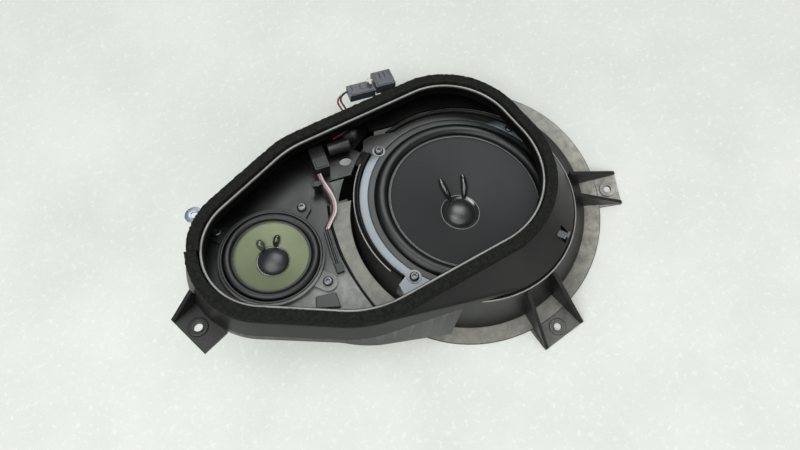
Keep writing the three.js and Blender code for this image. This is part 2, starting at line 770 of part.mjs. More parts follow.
function addMid() {
  put(mid, 'midrange_basket', midBasket(), 'greyPlastic');
  addMovingParts(mid, 'midrange', MID);
  addMotor(mid, 'midrange', MID);
  put(mid, 'midrange_terminal_board', turnedTo(moved(terminalBoard(12, 6), 31, 0, -10), 0), 'paper');
  const headTop = -MID_OFFSET.z + FIT + 2 + FIT + 2.1;
  MID_EAR_ANGLES.forEach((angle, i) => {
    const place = moved(screw(headTop, 11), MID_EAR_RADIUS, 0, 0);
    put(mid, `midrange_screw_${i + 1}`, turnedTo(place, angle), 'darkSteel');
  });
}

// ---------------------------------------------------------------- wiring and small fittings
// a plug or socket housing with a latch on its back
function plugBody(length, depth, height) {
  return build(block(length, depth, height, 0, 0, 0), [
    block(length * 0.5, depth * 0.5, 2.4, 0, 0, height / 2 + 0.8),
  ], [block(length * 0.2, depth * 0.3, 3, 0, 0, height / 2 + 1.5)]);
}

function addWiring() {
  const socket = moved(plugBody(16, 16, 14), ...SOCKET_PLACE);
  put(baffle, 'harness_socket', socket, 'greyPlastic');
  const arm = block(9, 6, 4, SOCKET_PLACE[0], SOCKET_PLACE[1] - 8 - FIT - 3, SOCKET_PLACE[2] - 4);
  const collarRoom = loft([
    hullLoop(BASE_DISCS, FIT, -5),
    hullLoop(LIP_DISCS, COLLAR_REACH + FIT, LEDGE_HEIGHT),
  ], false);
  put(baffle, 'socket_bracket', build(arm, [], [collarRoom]), 'blackPlastic');
  put(baffle, 'harness_plug', moved(plugBody(21, 13, 12), ...PLUG_PLACE), 'blackPlastic');
  const pins = block(5, 1.2, 1.2, 0, 0, 0);
  const pinX = (SOCKET_PLACE[0] + PLUG_PLACE[0]) / 2;
  const tab = build(pins, [block(2, 6, 1.2, 0, 0, 0)]);
  put(baffle, 'locking_tab', moved(tab, pinX - 2, PLUG_PLACE[1], 18), 'whiteWire');

  put(baffle, 'crossover_connector', moved(plugBody(11, 20, 11), -93, 62, 6), 'blackPlastic');
  const capacitor = disc(5, 0, 17, 16).rotateY(Math.PI / 2);
  put(baffle, 'crossover_capacitor', moved(capacitor, -84, 70, 6), 'blackWire');
  put(baffle, 'wire_post', build(disc(2.4, FIT, 11, 16).translate(-101, 41, 0), [
    block(7, 3.4, 2.5, -101, 41, 9.5),
  ]), 'greyPlastic');

  OUTER_WIRES.forEach(({ name, colour, shift }) => {
    const route = OUTER_ROUTE.map(([x, y, z]) => [x + shift, y, z + shift * 0.8]);
    put(baffle, name, wire(route, WIRE, 12), colour);
  });
  INNER_WIRES.forEach(({ name, colour, shift }) => {
    const route = INNER_ROUTE.map(([x, y, z]) => [x + shift, y, z]);
    put(baffle, name, wire(route, WIRE, 14), colour);
  });
  const sleeve = build(block(7.4, 8, 3.2, -105.6, -23.8, 1.95), [], [
    block(6.3, 6, 2.2, -105.6, -22.2, 1.95),
  ]);
  put(baffle, 'wire_sleeve', sleeve, 'rubber');
}

function addFittings() {
  const pad = flat([[-129, -48.5], [-107, -48.5], [-111, -39], [-126, -39]]);
  put(baffle, 'rubber_pad', prism(pad, FIT, 3.5), 'rubber');
  const clip = build(block(11, 5.5, 1.4, 73, 0, 8), [block(1.6, 5.5, 4.5, 78, 0, 9.6)]);
  put(baffle, 'collar_clip', turnedTo(clip, CLIP_ANGLE), 'darkSteel');
  const [x, y] = LIP_DISCS[0];
  const washer = moved(ring(2.4, 6.5, 0, 1.2, 24), 61.6, 0, 9.5);
  const tongue = block(5, 5, 1.2, 57.6, 0, 10.1);
  put(baffle, 'spring_clip', moved(turnedTo(build(washer, [tongue]), 132), x, y, 0), 'brightSteel');
}

put(base, 'drum_housing', drumHousing(), 'blackPlastic');
put(baffle, 'egg_collar', eggCollar(), 'blackPlastic');
put(baffle, 'foam_gasket', foamGasket(), 'foam');
addWoofer();
addMid();
addWiring();
addFittings();

export default pod;
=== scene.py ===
"""Looks for the two-way car door speaker pod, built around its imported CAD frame.

Lengths are in millimetres, apart from those of the lights, which are in metres.
"""
import json
import math

import bmesh
import bpy
from mathutils import Matrix, Vector, noise


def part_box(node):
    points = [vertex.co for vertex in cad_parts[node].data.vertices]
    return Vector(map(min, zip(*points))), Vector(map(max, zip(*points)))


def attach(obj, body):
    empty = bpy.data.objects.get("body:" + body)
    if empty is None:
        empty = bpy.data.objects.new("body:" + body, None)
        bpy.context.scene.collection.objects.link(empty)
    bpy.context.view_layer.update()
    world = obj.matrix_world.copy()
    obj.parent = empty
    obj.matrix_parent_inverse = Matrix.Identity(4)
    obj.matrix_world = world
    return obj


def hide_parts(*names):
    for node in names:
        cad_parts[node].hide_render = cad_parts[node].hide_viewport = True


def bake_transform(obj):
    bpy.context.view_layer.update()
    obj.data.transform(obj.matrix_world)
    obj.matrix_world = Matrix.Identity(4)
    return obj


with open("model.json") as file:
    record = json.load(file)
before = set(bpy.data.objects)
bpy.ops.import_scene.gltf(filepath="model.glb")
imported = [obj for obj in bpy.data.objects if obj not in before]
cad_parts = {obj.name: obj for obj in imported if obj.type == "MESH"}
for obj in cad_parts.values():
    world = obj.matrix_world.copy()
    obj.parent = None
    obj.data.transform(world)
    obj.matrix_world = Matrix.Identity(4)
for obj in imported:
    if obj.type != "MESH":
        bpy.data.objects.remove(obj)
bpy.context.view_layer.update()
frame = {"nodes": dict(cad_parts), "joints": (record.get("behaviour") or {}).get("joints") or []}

MM = 0.001

# ---------- frames taken from the CAD
FLANGE_RADIUS = 108
WOOFER_PLATE_MIDDLE = 32.5  # the front plates' middles lie this far behind the cone edges
MID_PLATE_MIDDLE = 18


def centre(node):
    low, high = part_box(node)
    return (low + high) / 2


AXIS = Vector(frame["joints"][0]["axis"]).normalized()
woofer_at = centre("woofer_front_plate") + AXIS * WOOFER_PLATE_MIDDLE * MM
mid_at = centre("midrange_front_plate") + AXIS * MID_PLATE_MIDDLE * MM
across = woofer_at - mid_at
across = (across - AXIS * across.dot(AXIS)).normalized()
BAFFLE = Matrix((across, AXIS.cross(across), AXIS)).transposed().to_4x4()
MID = BAFFLE.copy()
BAFFLE.translation = woofer_at
MID.translation = mid_at
drum_low, drum_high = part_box("drum_housing")
FLANGE = Matrix.Translation((drum_low.x + FLANGE_RADIUS * MM, drum_high.y - FLANGE_RADIUS * MM, 0))
MID_X, _, MID_Z = [v / MM for v in BAFFLE.inverted() @ mid_at]

# ---------- camera, floor and light
CAMERA_RIGHT = Vector((0.93563, -0.34493, -0.07497))
CAMERA_UP = Vector((0.35258, 0.90316, 0.24491))
CAMERA_FROM_FLANGE = Vector((-63.4, -112.8, 464.3))
CAMERA_LENS = 25.875
CAMERA_SENSOR = 36


def make_camera():
    camera = bpy.data.objects.new("camera", bpy.data.cameras.new("camera"))
    bpy.context.scene.collection.objects.link(camera)
    camera.data.lens = CAMERA_LENS
    camera.data.sensor_width = CAMERA_SENSOR
    camera.data.clip_start = 0.01
    view = Matrix((CAMERA_RIGHT, CAMERA_UP, CAMERA_RIGHT.cross(CAMERA_UP))).transposed().to_4x4()
    view.translation = FLANGE.translation + CAMERA_FROM_FLANGE * MM
    camera.matrix_world = view
    bpy.context.scene.camera = camera
    bpy.context.scene.view_settings.view_transform = "Standard"


def area_light(name, place, size, power, colour, sheen_only=False):
    """A rectangular light that looks at the part. sheen_only leaves it out of what matt surfaces show."""
    light = bpy.data.lights.new(name, "AREA")
    light.shape = "RECTANGLE"
    light.size, light.size_y = size
    light.energy = power
    light.color = colour
    lamp = bpy.data.objects.new(name, light)
    bpy.context.scene.collection.objects.link(lamp)
    lamp.location = place
    lamp.visible_diffuse = not sheen_only
    lamp.rotation_euler = (-Vector(place)).to_track_quat("-Z", "Y").to_euler()


def make_world():
    world = bpy.data.worlds.new("world")
    world.use_nodes = True
    background = world.node_tree.nodes["Background"]
    background.inputs["Color"].default_value = (0.93, 0.96, 0.93, 1)
    background.inputs["Strength"].default_value = 0.24
    bpy.context.scene.world = world


make_camera()
area_light("softbox_above", (-0.25, -0.25, 1.6), (1.7, 1.5), 27, (1, 1, 0.99))
area_light("softbox_left", (-1.5, -0.5, 1.1), (1.0, 1.0), 2.4, (0.97, 1, 0.98))
area_light("softbox_right", (1.3, -1.1, 1.0), (0.9, 0.9), 5, (1, 1, 0.98))
area_light("sheen_behind", (0.62, 0.95, 1.2), (0.9, 0.7), 14, (0.97, 1, 1), sheen_only=True)
area_light("sheen_overhead", (0.03, 0.42, 1.6), (0.6, 0.4), 5, (1, 1, 0.97), sheen_only=True)
make_world()


# ---------- materials
class Nodes:
    """A small writer of node trees."""

    def __init__(self, name):
        self.material = bpy.data.materials.new(name)
        self.material.use_nodes = True
        self.tree = self.material.node_tree
        self.shader = self.tree.nodes["Principled BSDF"]
        self.place = self.new("ShaderNodeTexCoord").outputs["Object"]

    def new(self, kind, inputs=None, **settings):
        node = self.tree.nodes.new(kind)
        for key, value in settings.items():
            setattr(node, key, value)
        for key, value in (inputs or {}).items():
            node.inputs[key].default_value = value
        return node

    def link(self, source, target):
        self.tree.links.new(source, target)

    def noise(self, scale, detail=3.0, roughness=0.55, stretch=None):
        place = self.place
        if stretch:
            mapping = self.new("ShaderNodeMapping", {"Scale": stretch})
            self.link(place, mapping.inputs["Vector"])
            place = mapping.outputs["Vector"]
        node = self.new("ShaderNodeTexNoise", {"Scale": scale, "Detail": detail, "Roughness": roughness})
        self.link(place, node.inputs["Vector"])
        return node.outputs["Fac"]

    def cells(self, scale):
        node = self.new("ShaderNodeTexVoronoi", {"Scale": scale})
        self.link(self.place, node.inputs["Vector"])
        return node.outputs["Distance"]

    def remap(self, value, low, high, to_low, to_high):
        node = self.new("ShaderNodeMapRange",
                        {"From Min": low, "From Max": high, "To Min": to_low, "To Max": to_high})
        self.link(value, node.inputs["Value"])
        return node.outputs["Result"]

    def blend(self, factor, first, second):
        node = self.new("ShaderNodeMix", data_type="RGBA")
        self.link(factor, node.inputs["Factor"])
        for socket, colour in ((node.inputs[6], first), (node.inputs[7], second)):
            if isinstance(colour, bpy.types.NodeSocket):
                self.link(colour, socket)
            else:
                socket.default_value = (*colour, 1)
        return node.outputs[2]

    def bump(self, height, strength, distance, normal=None):
        node = self.new("ShaderNodeBump", {"Strength": strength, "Distance": distance})
        self.link(height, node.inputs["Height"])
        if normal:
            self.link(normal, node.inputs["Normal"])
        return node.outputs["Normal"]

    def dot(self, first, second):
        """The dot product of two vectors; the second may be a constant."""
        node = self.new("ShaderNodeVectorMath", operation="DOT_PRODUCT")
        self.link(first, node.inputs[0])
        if isinstance(second, bpy.types.NodeSocket):
            self.link(second, node.inputs[1])
        else:
            node.inputs[1].default_value = second
        return node.outputs["Value"]

    def product(self, first, second):
        node = self.new("ShaderNodeMath", operation="MULTIPLY")
        self.link(first, node.inputs[0])
        self.link(second, node.inputs[1])
        return node.outputs[0]

    def edges(self, radius):
        """0 on flat faces, rising along edges, and the rounded normal."""
        soft = self.new("ShaderNodeBevel", {"Radius": radius}, samples=4)
        plain = self.new("ShaderNodeNewGeometry").outputs["Normal"]
        cosine = self.dot(soft.outputs["Normal"], plain)
        return self.remap(cosine, 1.0, 0.86, 0.0, 1.0), soft.outputs["Normal"]


def scaled(colour, factor):
    return tuple(min(1.0, c * factor) for c in colour)


CLOUD_RANGE = (0.35, 0.65)
WORN_EDGE = 4.5  # how much lighter a rubbed edge is
ROUGH_SPREAD = 0.07
EDGE_ROUNDING = 0.4 * MM
GRAIN_DEPTH = 0.3 * MM


def surface(name, colour, rough, metallic=0.0, mottle=0.25, mottle_scale=45, grain=1400, bump=0.12, wear=0.0,
            is_edged=True, stretch=None, sheen=0.0, coat=0.0, specular=0.5, cells=0, fades=()):
    """A mottled, finely grained material. cells is the scale of a foam or cloth pattern in place of grain.

    fades are (direction, start, end, colour): the colour takes over along a direction of the baffle frame; here
    they paint sheen and shade.
    """
    nodes = Nodes(name)
    shader = nodes.shader
    for key, value in (("Metallic", metallic), ("Sheen Weight", sheen), ("Coat Weight", coat),
                       ("Specular IOR Level", specular)):
        shader.inputs[key].default_value = value
    clouds = nodes.remap(nodes.noise(mottle_scale, 4, 0.6, stretch), *CLOUD_RANGE, 0, 1)

    def mottled(base):
        return nodes.blend(clouds, scaled(base, 1 - mottle), scaled(base, 1 + mottle))

    tint = mottled(colour)
    for direction, start, end, other in fades:
        axis = BAFFLE.to_3x3() @ Vector(direction)
        offset = axis.dot(BAFFLE.translation)
        share = nodes.remap(nodes.dot(nodes.place, axis), offset + start * MM, offset + end * MM, 0, 1)
        tint = nodes.blend(share, tint, mottled(other))
    normal = None
    if is_edged:
        edge, normal = nodes.edges(EDGE_ROUNDING)
        if wear:
            patches = nodes.remap(nodes.noise(220, 3), 0.42, 0.62, 0.0, wear)
            tint = nodes.blend(nodes.product(edge, patches), tint, scaled(colour, WORN_EDGE))
    nodes.link(tint, shader.inputs["Base Color"])
    smears = nodes.noise(mottle_scale * 0.5, 5, 0.65, stretch)
    roughness = nodes.remap(smears, 0.3, 0.7, rough - ROUGH_SPREAD, min(1.0, rough + ROUGH_SPREAD))
    nodes.link(roughness, shader.inputs["Roughness"])
    height = nodes.cells(cells) if cells else nodes.noise(grain, 2, 0.6, stretch)
    nodes.link(nodes.bump(height, bump, GRAIN_DEPTH, normal), shader.inputs["Normal"])
    return nodes.material


AWAY, NEAR, RIGHTWARDS = (0, 1, 0), (0, -1, 0), (1, 0, 0)
MOULDED = dict(specular=0.33, wear=0.35, grain=900)
CAP = dict(mottle=0.1, bump=0.06, is_edged=False)
STEEL = dict(metallic=1.0, mottle=0.15)
PVC = dict(rough=0.4, mottle=0.1, bump=0.03, is_edged=False)
MATERIALS = {
    # plastics
    "black_plastic": dict(MOULDED, colour=(0.0085, 0.009, 0.0085), rough=0.40, bump=0.16),
    "drum_plastic": dict(MOULDED, colour=(0.008, 0.0082, 0.0075), rough=0.42, bump=0.14),
    # painted sheen, lighter towards the near side, and a painted reflection of the dark far wall, darker towards
    # the far side
    "grey_plastic": dict(colour=(0.012, 0.013, 0.014), rough=0.38, specular=0.36, mottle=0.35, mottle_scale=120,
                         wear=0.25, fades=((NEAR, 12, 40, (0.23, 0.24, 0.23)), (AWAY, 24, 40, (0.002,) * 3))),
    # painted sheen: grey standing in for the sheen on the connectors
    "connector_painted_sheen": dict(colour=(0.050, 0.055, 0.066), rough=0.38, mottle=0.2, mottle_scale=90),
    # painted sheen: a pale copy of the black plastic for upward faces, lighter towards the right
    "flange_painted_sheen": dict(colour=(0.150, 0.148, 0.125), rough=0.45, mottle=0.3, mottle_scale=160, bump=0.3,
                        fades=((RIGHTWARDS, 70, 118, (0.33, 0.325, 0.29)),)),
    # painted sheen: a mid grey copy of the black plastic for a foot's upward faces
    "foot_painted_sheen": dict(colour=(0.055, 0.056, 0.048), rough=0.45, mottle=0.45, mottle_scale=190, bump=0.35),
    # painted shade: near black, for grooves, recesses and inner walls that lie in shade
    "painted_shade": dict(colour=(0.002, 0.0022, 0.002), rough=0.45, mottle=0.3, bump=0.1, specular=0.12),
    # painted highlight: a light grey line along the lip's top and the drum's rim
    "painted_highlight": dict(colour=(0.30, 0.30, 0.29), rough=0.3, mottle=0.2, grain=500),
    # foam and rubber
    "foam": dict(colour=(0.0095, 0.0105, 0.009), rough=0.98, mottle=0.6, mottle_scale=420, bump=1.0, cells=1100,
                 is_edged=False, specular=0.2),
    "black_rubber": dict(colour=(0.0025, 0.0027, 0.003), rough=0.36, mottle=0.2, bump=0.05, is_edged=False,
                         specular=0.32),
    "rubber_step": dict(colour=(0.022, 0.027, 0.026), rough=0.5, mottle=0.15, bump=0.08),
    # cones and dust caps
    "dark_cone": dict(colour=(0.031, 0.032, 0.034), rough=0.72, specular=0.3, mottle=0.08, mottle_scale=12,
                      grain=1500, bump=0.22, is_edged=False, sheen=0.08),
    "olive_cone": dict(colour=(0.225, 0.26, 0.155), rough=0.5, specular=0.22, mottle=0.08, mottle_scale=25,
                       grain=1100, bump=0.12, is_edged=False),
    "dust_cap_black": dict(CAP, colour=(0.020, 0.021, 0.021), rough=0.30),
    "mid_cap": dict(CAP, colour=(0.016, 0.019, 0.022), rough=0.36),
    # coils and spiders
    "kraft_former": dict(colour=(0.40, 0.24, 0.09), rough=0.75, grain=500, bump=0.3),
    "copper_wire": dict(colour=(0.55, 0.20, 0.09), rough=0.32, metallic=1.0, stretch=(1, 1, 60)),
    "spider_cloth": dict(colour=(0.42, 0.24, 0.07), rough=0.9, cells=1500, bump=0.7),
    # metals and magnets
    # the basket's own paint, fading towards the far side into a painted reflection of the dark far wall
    "basket_paint": dict(colour=(0.17, 0.195, 0.215), rough=0.38, metallic=0.2, mottle=0.08, wear=0.15,
                         fades=((AWAY, 50, 58, (0.012, 0.012, 0.011)),)),
    "ferrite": dict(colour=(0.030, 0.030, 0.032), rough=0.6, mottle=0.4, grain=600, bump=0.35),
    "zinc_steel": dict(STEEL, colour=(0.45, 0.46, 0.46), rough=0.38, wear=0.1),
    "dark_steel": dict(colour=(0.10, 0.105, 0.11), rough=0.34, metallic=0.9, wear=0.5),
    "bright_steel": dict(STEEL, colour=(0.30, 0.36, 0.43), rough=0.3),
    # glue
    "glue": dict(colour=(0.010, 0.011, 0.010), rough=0.16, mottle=0.2, grain=500, bump=0.1, is_edged=False,
                 coat=0.5),
    "glue_olive": dict(colour=(0.045, 0.055, 0.030), rough=0.25, mottle=0.3, grain=500, bump=0.1, coat=0.4),
    # painted highlight: a light line along glue edges
    "painted_edge_highlight": dict(colour=(0.17, 0.175, 0.17), rough=0.3, mottle=0.15, grain=700, bump=0.1, is_edged=False),
    # wire insulation
    "white_pvc": dict(PVC, colour=(0.62, 0.58, 0.57)),
    "pink_pvc": dict(PVC, colour=(0.42, 0.23, 0.27)),
    "red_pvc": dict(PVC, colour=(0.26, 0.022, 0.024)),
    "grey_sleeve": dict(PVC, colour=(0.05, 0.053, 0.056), mottle=0.2, bump=0.05),
    "black_pvc": dict(PVC, colour=(0.012, 0.012, 0.013)),
}
LOOKS = {name: surface(name, **settings) for name, settings in MATERIALS.items()}


# ---------- mesh code
def raw(points, faces, place):
    """A mesh object of points in millimetres, in the frame of the matrix place."""
    mesh = bpy.data.meshes.new("raw")
    mesh.from_pydata([place @ (Vector(p) * MM) for p in points], [], faces)
    made = bpy.data.objects.new("raw", mesh)
    bpy.context.scene.collection.objects.link(made)
    return tidy(made)


def tidy(made):
    work = bmesh.new()
    work.from_mesh(made.data)
    bmesh.ops.remove_doubles(work, verts=work.verts, dist=1e-6)
    bmesh.ops.dissolve_degenerate(work, edges=work.edges, dist=1e-7)
    bmesh.ops.recalc_face_normals(work, faces=work.faces)
    work.to_mesh(made.data)
    work.free()
    return made


def loft(loops, is_ring=False):
    """Points and faces of a skin over matching closed loops. Without is_ring its two ends are capped."""
    count = len(loops[0])
    points = [p for loop in loops for p in loop]
    faces = []
    bands = len(loops) if is_ring else len(loops) - 1
    for band in range(bands):
        low, high = band * count, ((band + 1) % len(loops)) * count
        for i in range(count):
            j = (i + 1) % count
            faces.append((low + i, low + j, high + j, high + i))
    if not is_ring:
        faces.append(tuple(range(count - 1, -1, -1)))
        faces.append(tuple((len(loops) - 1) * count + i for i in range(count)))
    return points, faces


def turn_steps(count):
    return [2 * math.pi * i / count for i in range(count)]


def circle(radius, height, count):
    return [Vector((radius * math.cos(a), radius * math.sin(a), height)) for a in turn_steps(count)]


def turned(profile, count=128, closed=True):
    """A solid turned from (radius, height) points; closed=False when they start and end on the axis."""
    return loft([circle(max(r, 1e-5), h, count) for r, h in profile], is_ring=closed)


def round_section(radius, height, fat, rise=None):
    """The (radius, height) points of a bead's round or oval section."""
    rise = rise or fat
    return [(radius + fat * math.cos(a), height + rise * math.sin(a)) for a in turn_steps(10)]


def rounded(profile, radius, steps=3):
    """The closed profile with each corner replaced by a small arc."""
    out = []
    for i, here in enumerate(profile):
        before, after = Vector(profile[i - 1]), Vector(profile[(i + 1) % len(profile)])
        here = Vector(here)
        reach = min(radius, (before - here).length * 0.45, (after - here).length * 0.45)
        start = here + (before - here).normalized() * reach
        end = here + (after - here).normalized() * reach
        for k in range(steps + 1):
            t = k / steps
            out.append(tuple((1 - t) ** 2 * start + 2 * t * (1 - t) * here + t * t * end))
    return out


def box(size, middle):
    x, y, z = (s / 2 for s in size)
    loops = [[Vector((sx * x, sy * y, h)) + Vector(middle) for sx, sy in ((-1, -1), (1, -1), (1, 1), (-1, 1))]
             for h in (-z, z)]
    return loft(loops)


def prism(outline, low, high):
    return loft([[Vector((x, y, h)) for x, y in outline] for h in (low, high)])


def block(size, middle, place):
    return raw(*box(size, middle), place)


def plug(radius, low, high, place, count=32):
    """A round solid, mostly to cut a hole with."""
    return raw(*turned([(0, low), (radius, low), (radius, high), (0, high)], count, closed=False), place)


def spun(degrees):
    return Matrix.Rotation(math.radians(degrees), 4, "Z")


def shifted(x, y, z=0.0):
    return Matrix.Translation(Vector((x, y, z)) * MM)


def combine(made, tools, how="DIFFERENCE"):
    """Cuts the tools away from made, or joins them to it, and removes them."""
    for tool in tools:
        modifier = made.modifiers.new("combine", "BOOLEAN")
        modifier.operation = how
        modifier.object = tool
        modifier.solver = "MANIFOLD"
        bpy.context.view_layer.update()
        graph = bpy.context.evaluated_depsgraph_get()
        mesh = bpy.data.meshes.new_from_object(made.evaluated_get(graph))
        made.modifiers.clear()
        made.data = mesh
        bpy.data.objects.remove(tool)
    return made


def finish_piece(made, name, look, body="housing", nodes=(), sharp=32, bevel=0.0):
    made.name = name
    made.data.name = name
    made.data.materials.clear()
    made.data.materials.append(LOOKS[look])
    for polygon in made.data.polygons:
        polygon.use_smooth = True
        polygon.material_index = 0
    made.data.set_sharp_from_angle(angle=math.radians(sharp))
    if bevel:
        modifier = made.modifiers.new("bevel", "BEVEL")
        modifier.width = bevel * MM
        modifier.segments = 2
        modifier.limit_method = "ANGLE"
        modifier.angle_limit = math.radians(35)
        modifier.harden_normals = True
    if body:
        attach(made, body)
    for node in nodes:
        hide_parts(node)
    return made


def paint(made, look, wanted):
    """Gives the faces that wanted(middle in mm, normal) picks another of the looks."""
    made.data.materials.append(LOOKS[look])
    index = len(made.data.materials) - 1
    for polygon in made.data.polygons:
        if wanted(polygon.center / MM, polygon.normal):
            polygon.material_index = index


def piece(name, shape, place, look, body="housing", nodes=(), sharp=32, bevel=0.0):
    return finish_piece(raw(*shape, place), name, look, body, nodes, sharp, bevel)


def smooth_path(points, steps):
    """Points along a Catmull-Rom curve through the given points."""
    points = [Vector(p) for p in points]
    ends = [2 * points[0] - points[1], *points, 2 * points[-1] - points[-2]]
    out = []
    for i in range(1, len(ends) - 2):
        a, b, c, d = ends[i - 1:i + 3]
        for k in range(steps):
            t = k / steps
            out.append(0.5 * (2 * b + (c - a) * t + (2 * a - 5 * b + 4 * c - d) * t * t
                              + (3 * b - a - 3 * c + d) * t ** 3))
    out.append(points[-1])
    return out


def tube(path, radius, count=12):
    """A round bar along the path; radius is a number, or a function of the share of the path."""
    loops = []
    side = None
    for i, p in enumerate(path):
        ahead = (path[min(i + 1, len(path) - 1)] - path[max(i - 1, 0)]).normalized()
        side = (ahead.orthogonal() if side is None else side - ahead * side.dot(ahead)).normalized()
        other = ahead.cross(side)
        r = radius(i / (len(path) - 1)) if callable(radius) else radius
        loops.append([p + (side * math.cos(a) + other * math.sin(a)) * r
                      for a in turn_steps(count)])
    return loft(loops)


# ---------- floor
def floor_material():
    nodes = Nodes("pale_table")
    clouds = nodes.remap(nodes.noise(9, 5, 0.6), *CLOUD_RANGE, 0, 1)
    tint = nodes.blend(clouds, (0.73, 0.755, 0.72), (0.80, 0.82, 0.79))
    specks = nodes.noise(210, 2, 0.7)
    tint = nodes.blend(nodes.remap(specks, 0.56, 0.70, 0.0, 0.55), tint, (0.90, 0.92, 0.90))
    nodes.link(tint, nodes.shader.inputs["Base Color"])
    nodes.shader.inputs["Roughness"].default_value = 0.9
    nodes.shader.inputs["Specular IOR Level"].default_value = 0.0
    nodes.link(nodes.bump(specks, 0.25, 0.8 * MM), nodes.shader.inputs["Normal"])
    return nodes.material


WORLD = Matrix.Identity(4)
floor = block((6000, 6000, 20), (0, 0, -10), WORLD)
floor.name = "floor"
floor.data.materials.append(floor_material())

# ---------- drum housing
ROUND = 192
FIT = 0.3  # the room between neighbouring pieces
DRUM_BASE_RADIUS = 95
DRUM_RIM_RADIUS = 80.5
RIM_HEIGHT = 4
EAR_RADIUS = 75.5  # where the woofer's screws are
EAR_ANGLES = (38, 128, 218, 308)
LONG_EARS = (0, 1, -1, 0)  # the side each ear leans to, or 0 for one hidden under the ring
WOOFER_FLANGE = 78.5
EAR_REACH = 91
PAD_WIDTH = 12
PAD_START = 72
SCREW_HOLE = 2.3
WOOFER_SCREWS = [BAFFLE @ spun(angle) @ shifted(EAR_RADIUS, 0) for angle in EAR_ANGLES]
# sections as (distance from the flange's edge or the rim's radius, height)
FLANGE_SECTION = ((-15.5, 0), (-0.3, 0), (0, 0.4), (0, 2.5), (-0.5, 3), (-11.6, 3), (-12.8, 3.5), (-13.4, 5.2))
RIM_SECTION = ((0, -2.4), (1.2, -1.4), (2, -0.9), (2, 2), (1.7, 2.4), (0.5, 2.4), (0.2, 2.1), (0.2, 3.7),
               (-0.1, 4), (-1.1, 4), (-1.4, 3.7), (-1.4, -1.3), (-9.5, -1.3), (-9.5, -4), (-2.5, -4))
# the drum rim's lines: a painted highlight along its top and painted shade in its groove
RIM_LINES = ((2.0, 2.5, "painted_highlight", 0.45), (0.9, 2.7, "painted_shade", 0.55))
RIM_ARCS = (("near", -128, 24), ("left", 141, 207))


def floor_circle(radius, height):
    return [FLANGE @ (p * MM) / MM for p in circle(radius, height, ROUND)]


def baffle_circle(radius, height):
    return [BAFFLE @ (p * MM) / MM for p in circle(radius, height, ROUND)]


def ear_outline(side, outset=0.0):
    """A long ear of the woofer's ring, along +X; side -1 mirrors it."""
    points = [(70, -27 - outset), (88 + outset, -9 - outset), (EAR_REACH + outset, -2),
              (86 + outset, 6 + outset), (70, 5 + outset)]
    return [(x, y * side) for x, y in (points if side > 0 else reversed(points))]


def arc(radius, first, last, step, at=(0, 0)):
    """(x, y) points along an arc, its angles in whole degrees."""
    angles = [math.radians(a) for a in range(first, last, step)]
    return [(at[0] + radius * math.cos(a), at[1] + radius * math.sin(a)) for a in angles]


def make_drum():
    loops = [floor_circle(FLANGE_RADIUS + r, h) for r, h in FLANGE_SECTION]
    loops += [baffle_circle(DRUM_RIM_RADIUS + r, h) for r, h in RIM_SECTION]
    loops.append(floor_circle(DRUM_BASE_RADIUS - 2.7, 4))
    shell = raw(*loft(loops, is_ring=True), WORLD)
    combine(shell, [raw(*prism(ear_outline(side, 0.8), -1.3, 7), BAFFLE @ spun(angle))
                    for side, angle in zip(LONG_EARS, EAR_ANGLES) if side])
    finish_piece(shell, "drum_and_flange", "drum_plastic", nodes=["drum_housing"], sharp=28)
    paint_drum(shell)
    make_rim_lines()
    make_woofer_pads()


def paint_drum(shell):
    """The flange's upper faces get a pale painted sheen, and what is seen of the drum beside the plate gets a
    dark painted shade.
    """
    middle = FLANGE.translation / MM

    def beside_plate(at):
        behind = math.degrees(math.atan2(at.y - middle.y, middle.x - at.x)) % 360 < 45
        return behind or (at.x < middle.x - 60 and -70 < at.y < 40)

    paint(shell, "flange_painted_sheen", lambda at, normal: at.z < 3.4 and normal.z > 0.9 and not beside_plate(at))
    paint(shell, "painted_shade", lambda at, normal: beside_plate(at) and at.x < middle.x - 45 and at.z < 82)


def make_rim_lines():
    for past_rim, height, look, fat in RIM_LINES:
        for part, first, last in RIM_ARCS:
            path = [Vector((x, y, height)) for x, y in arc(DRUM_RIM_RADIUS + past_rim, first, last + 1, 2)]
            piece(f"rim_{part}_{look}", tube(path, fat, 10), BAFFLE, look, sharp=70)


def make_woofer_pads():
    for i, angle in enumerate(EAR_ANGLES):
        reach = EAR_REACH - 3 if LONG_EARS[i] else DRUM_RIM_RADIUS - 2.5
        pad = block((reach - PAD_START, PAD_WIDTH, 9), ((reach + PAD_START) / 2, 0, -5.8), BAFFLE @ spun(angle))
        combine(pad, [plug(SCREW_HOLE, -15, 2, WOOFER_SCREWS[i])])
        finish_piece(pad, f"woofer_pad_{i + 1}", "drum_plastic")


FOOT = 17
FOOT_THICK = 2.4
FOOT_HOLE = 3
BOSS_RADIUS = 6.5
BOSS_TOP = 3.6
GUSSET = 2.6


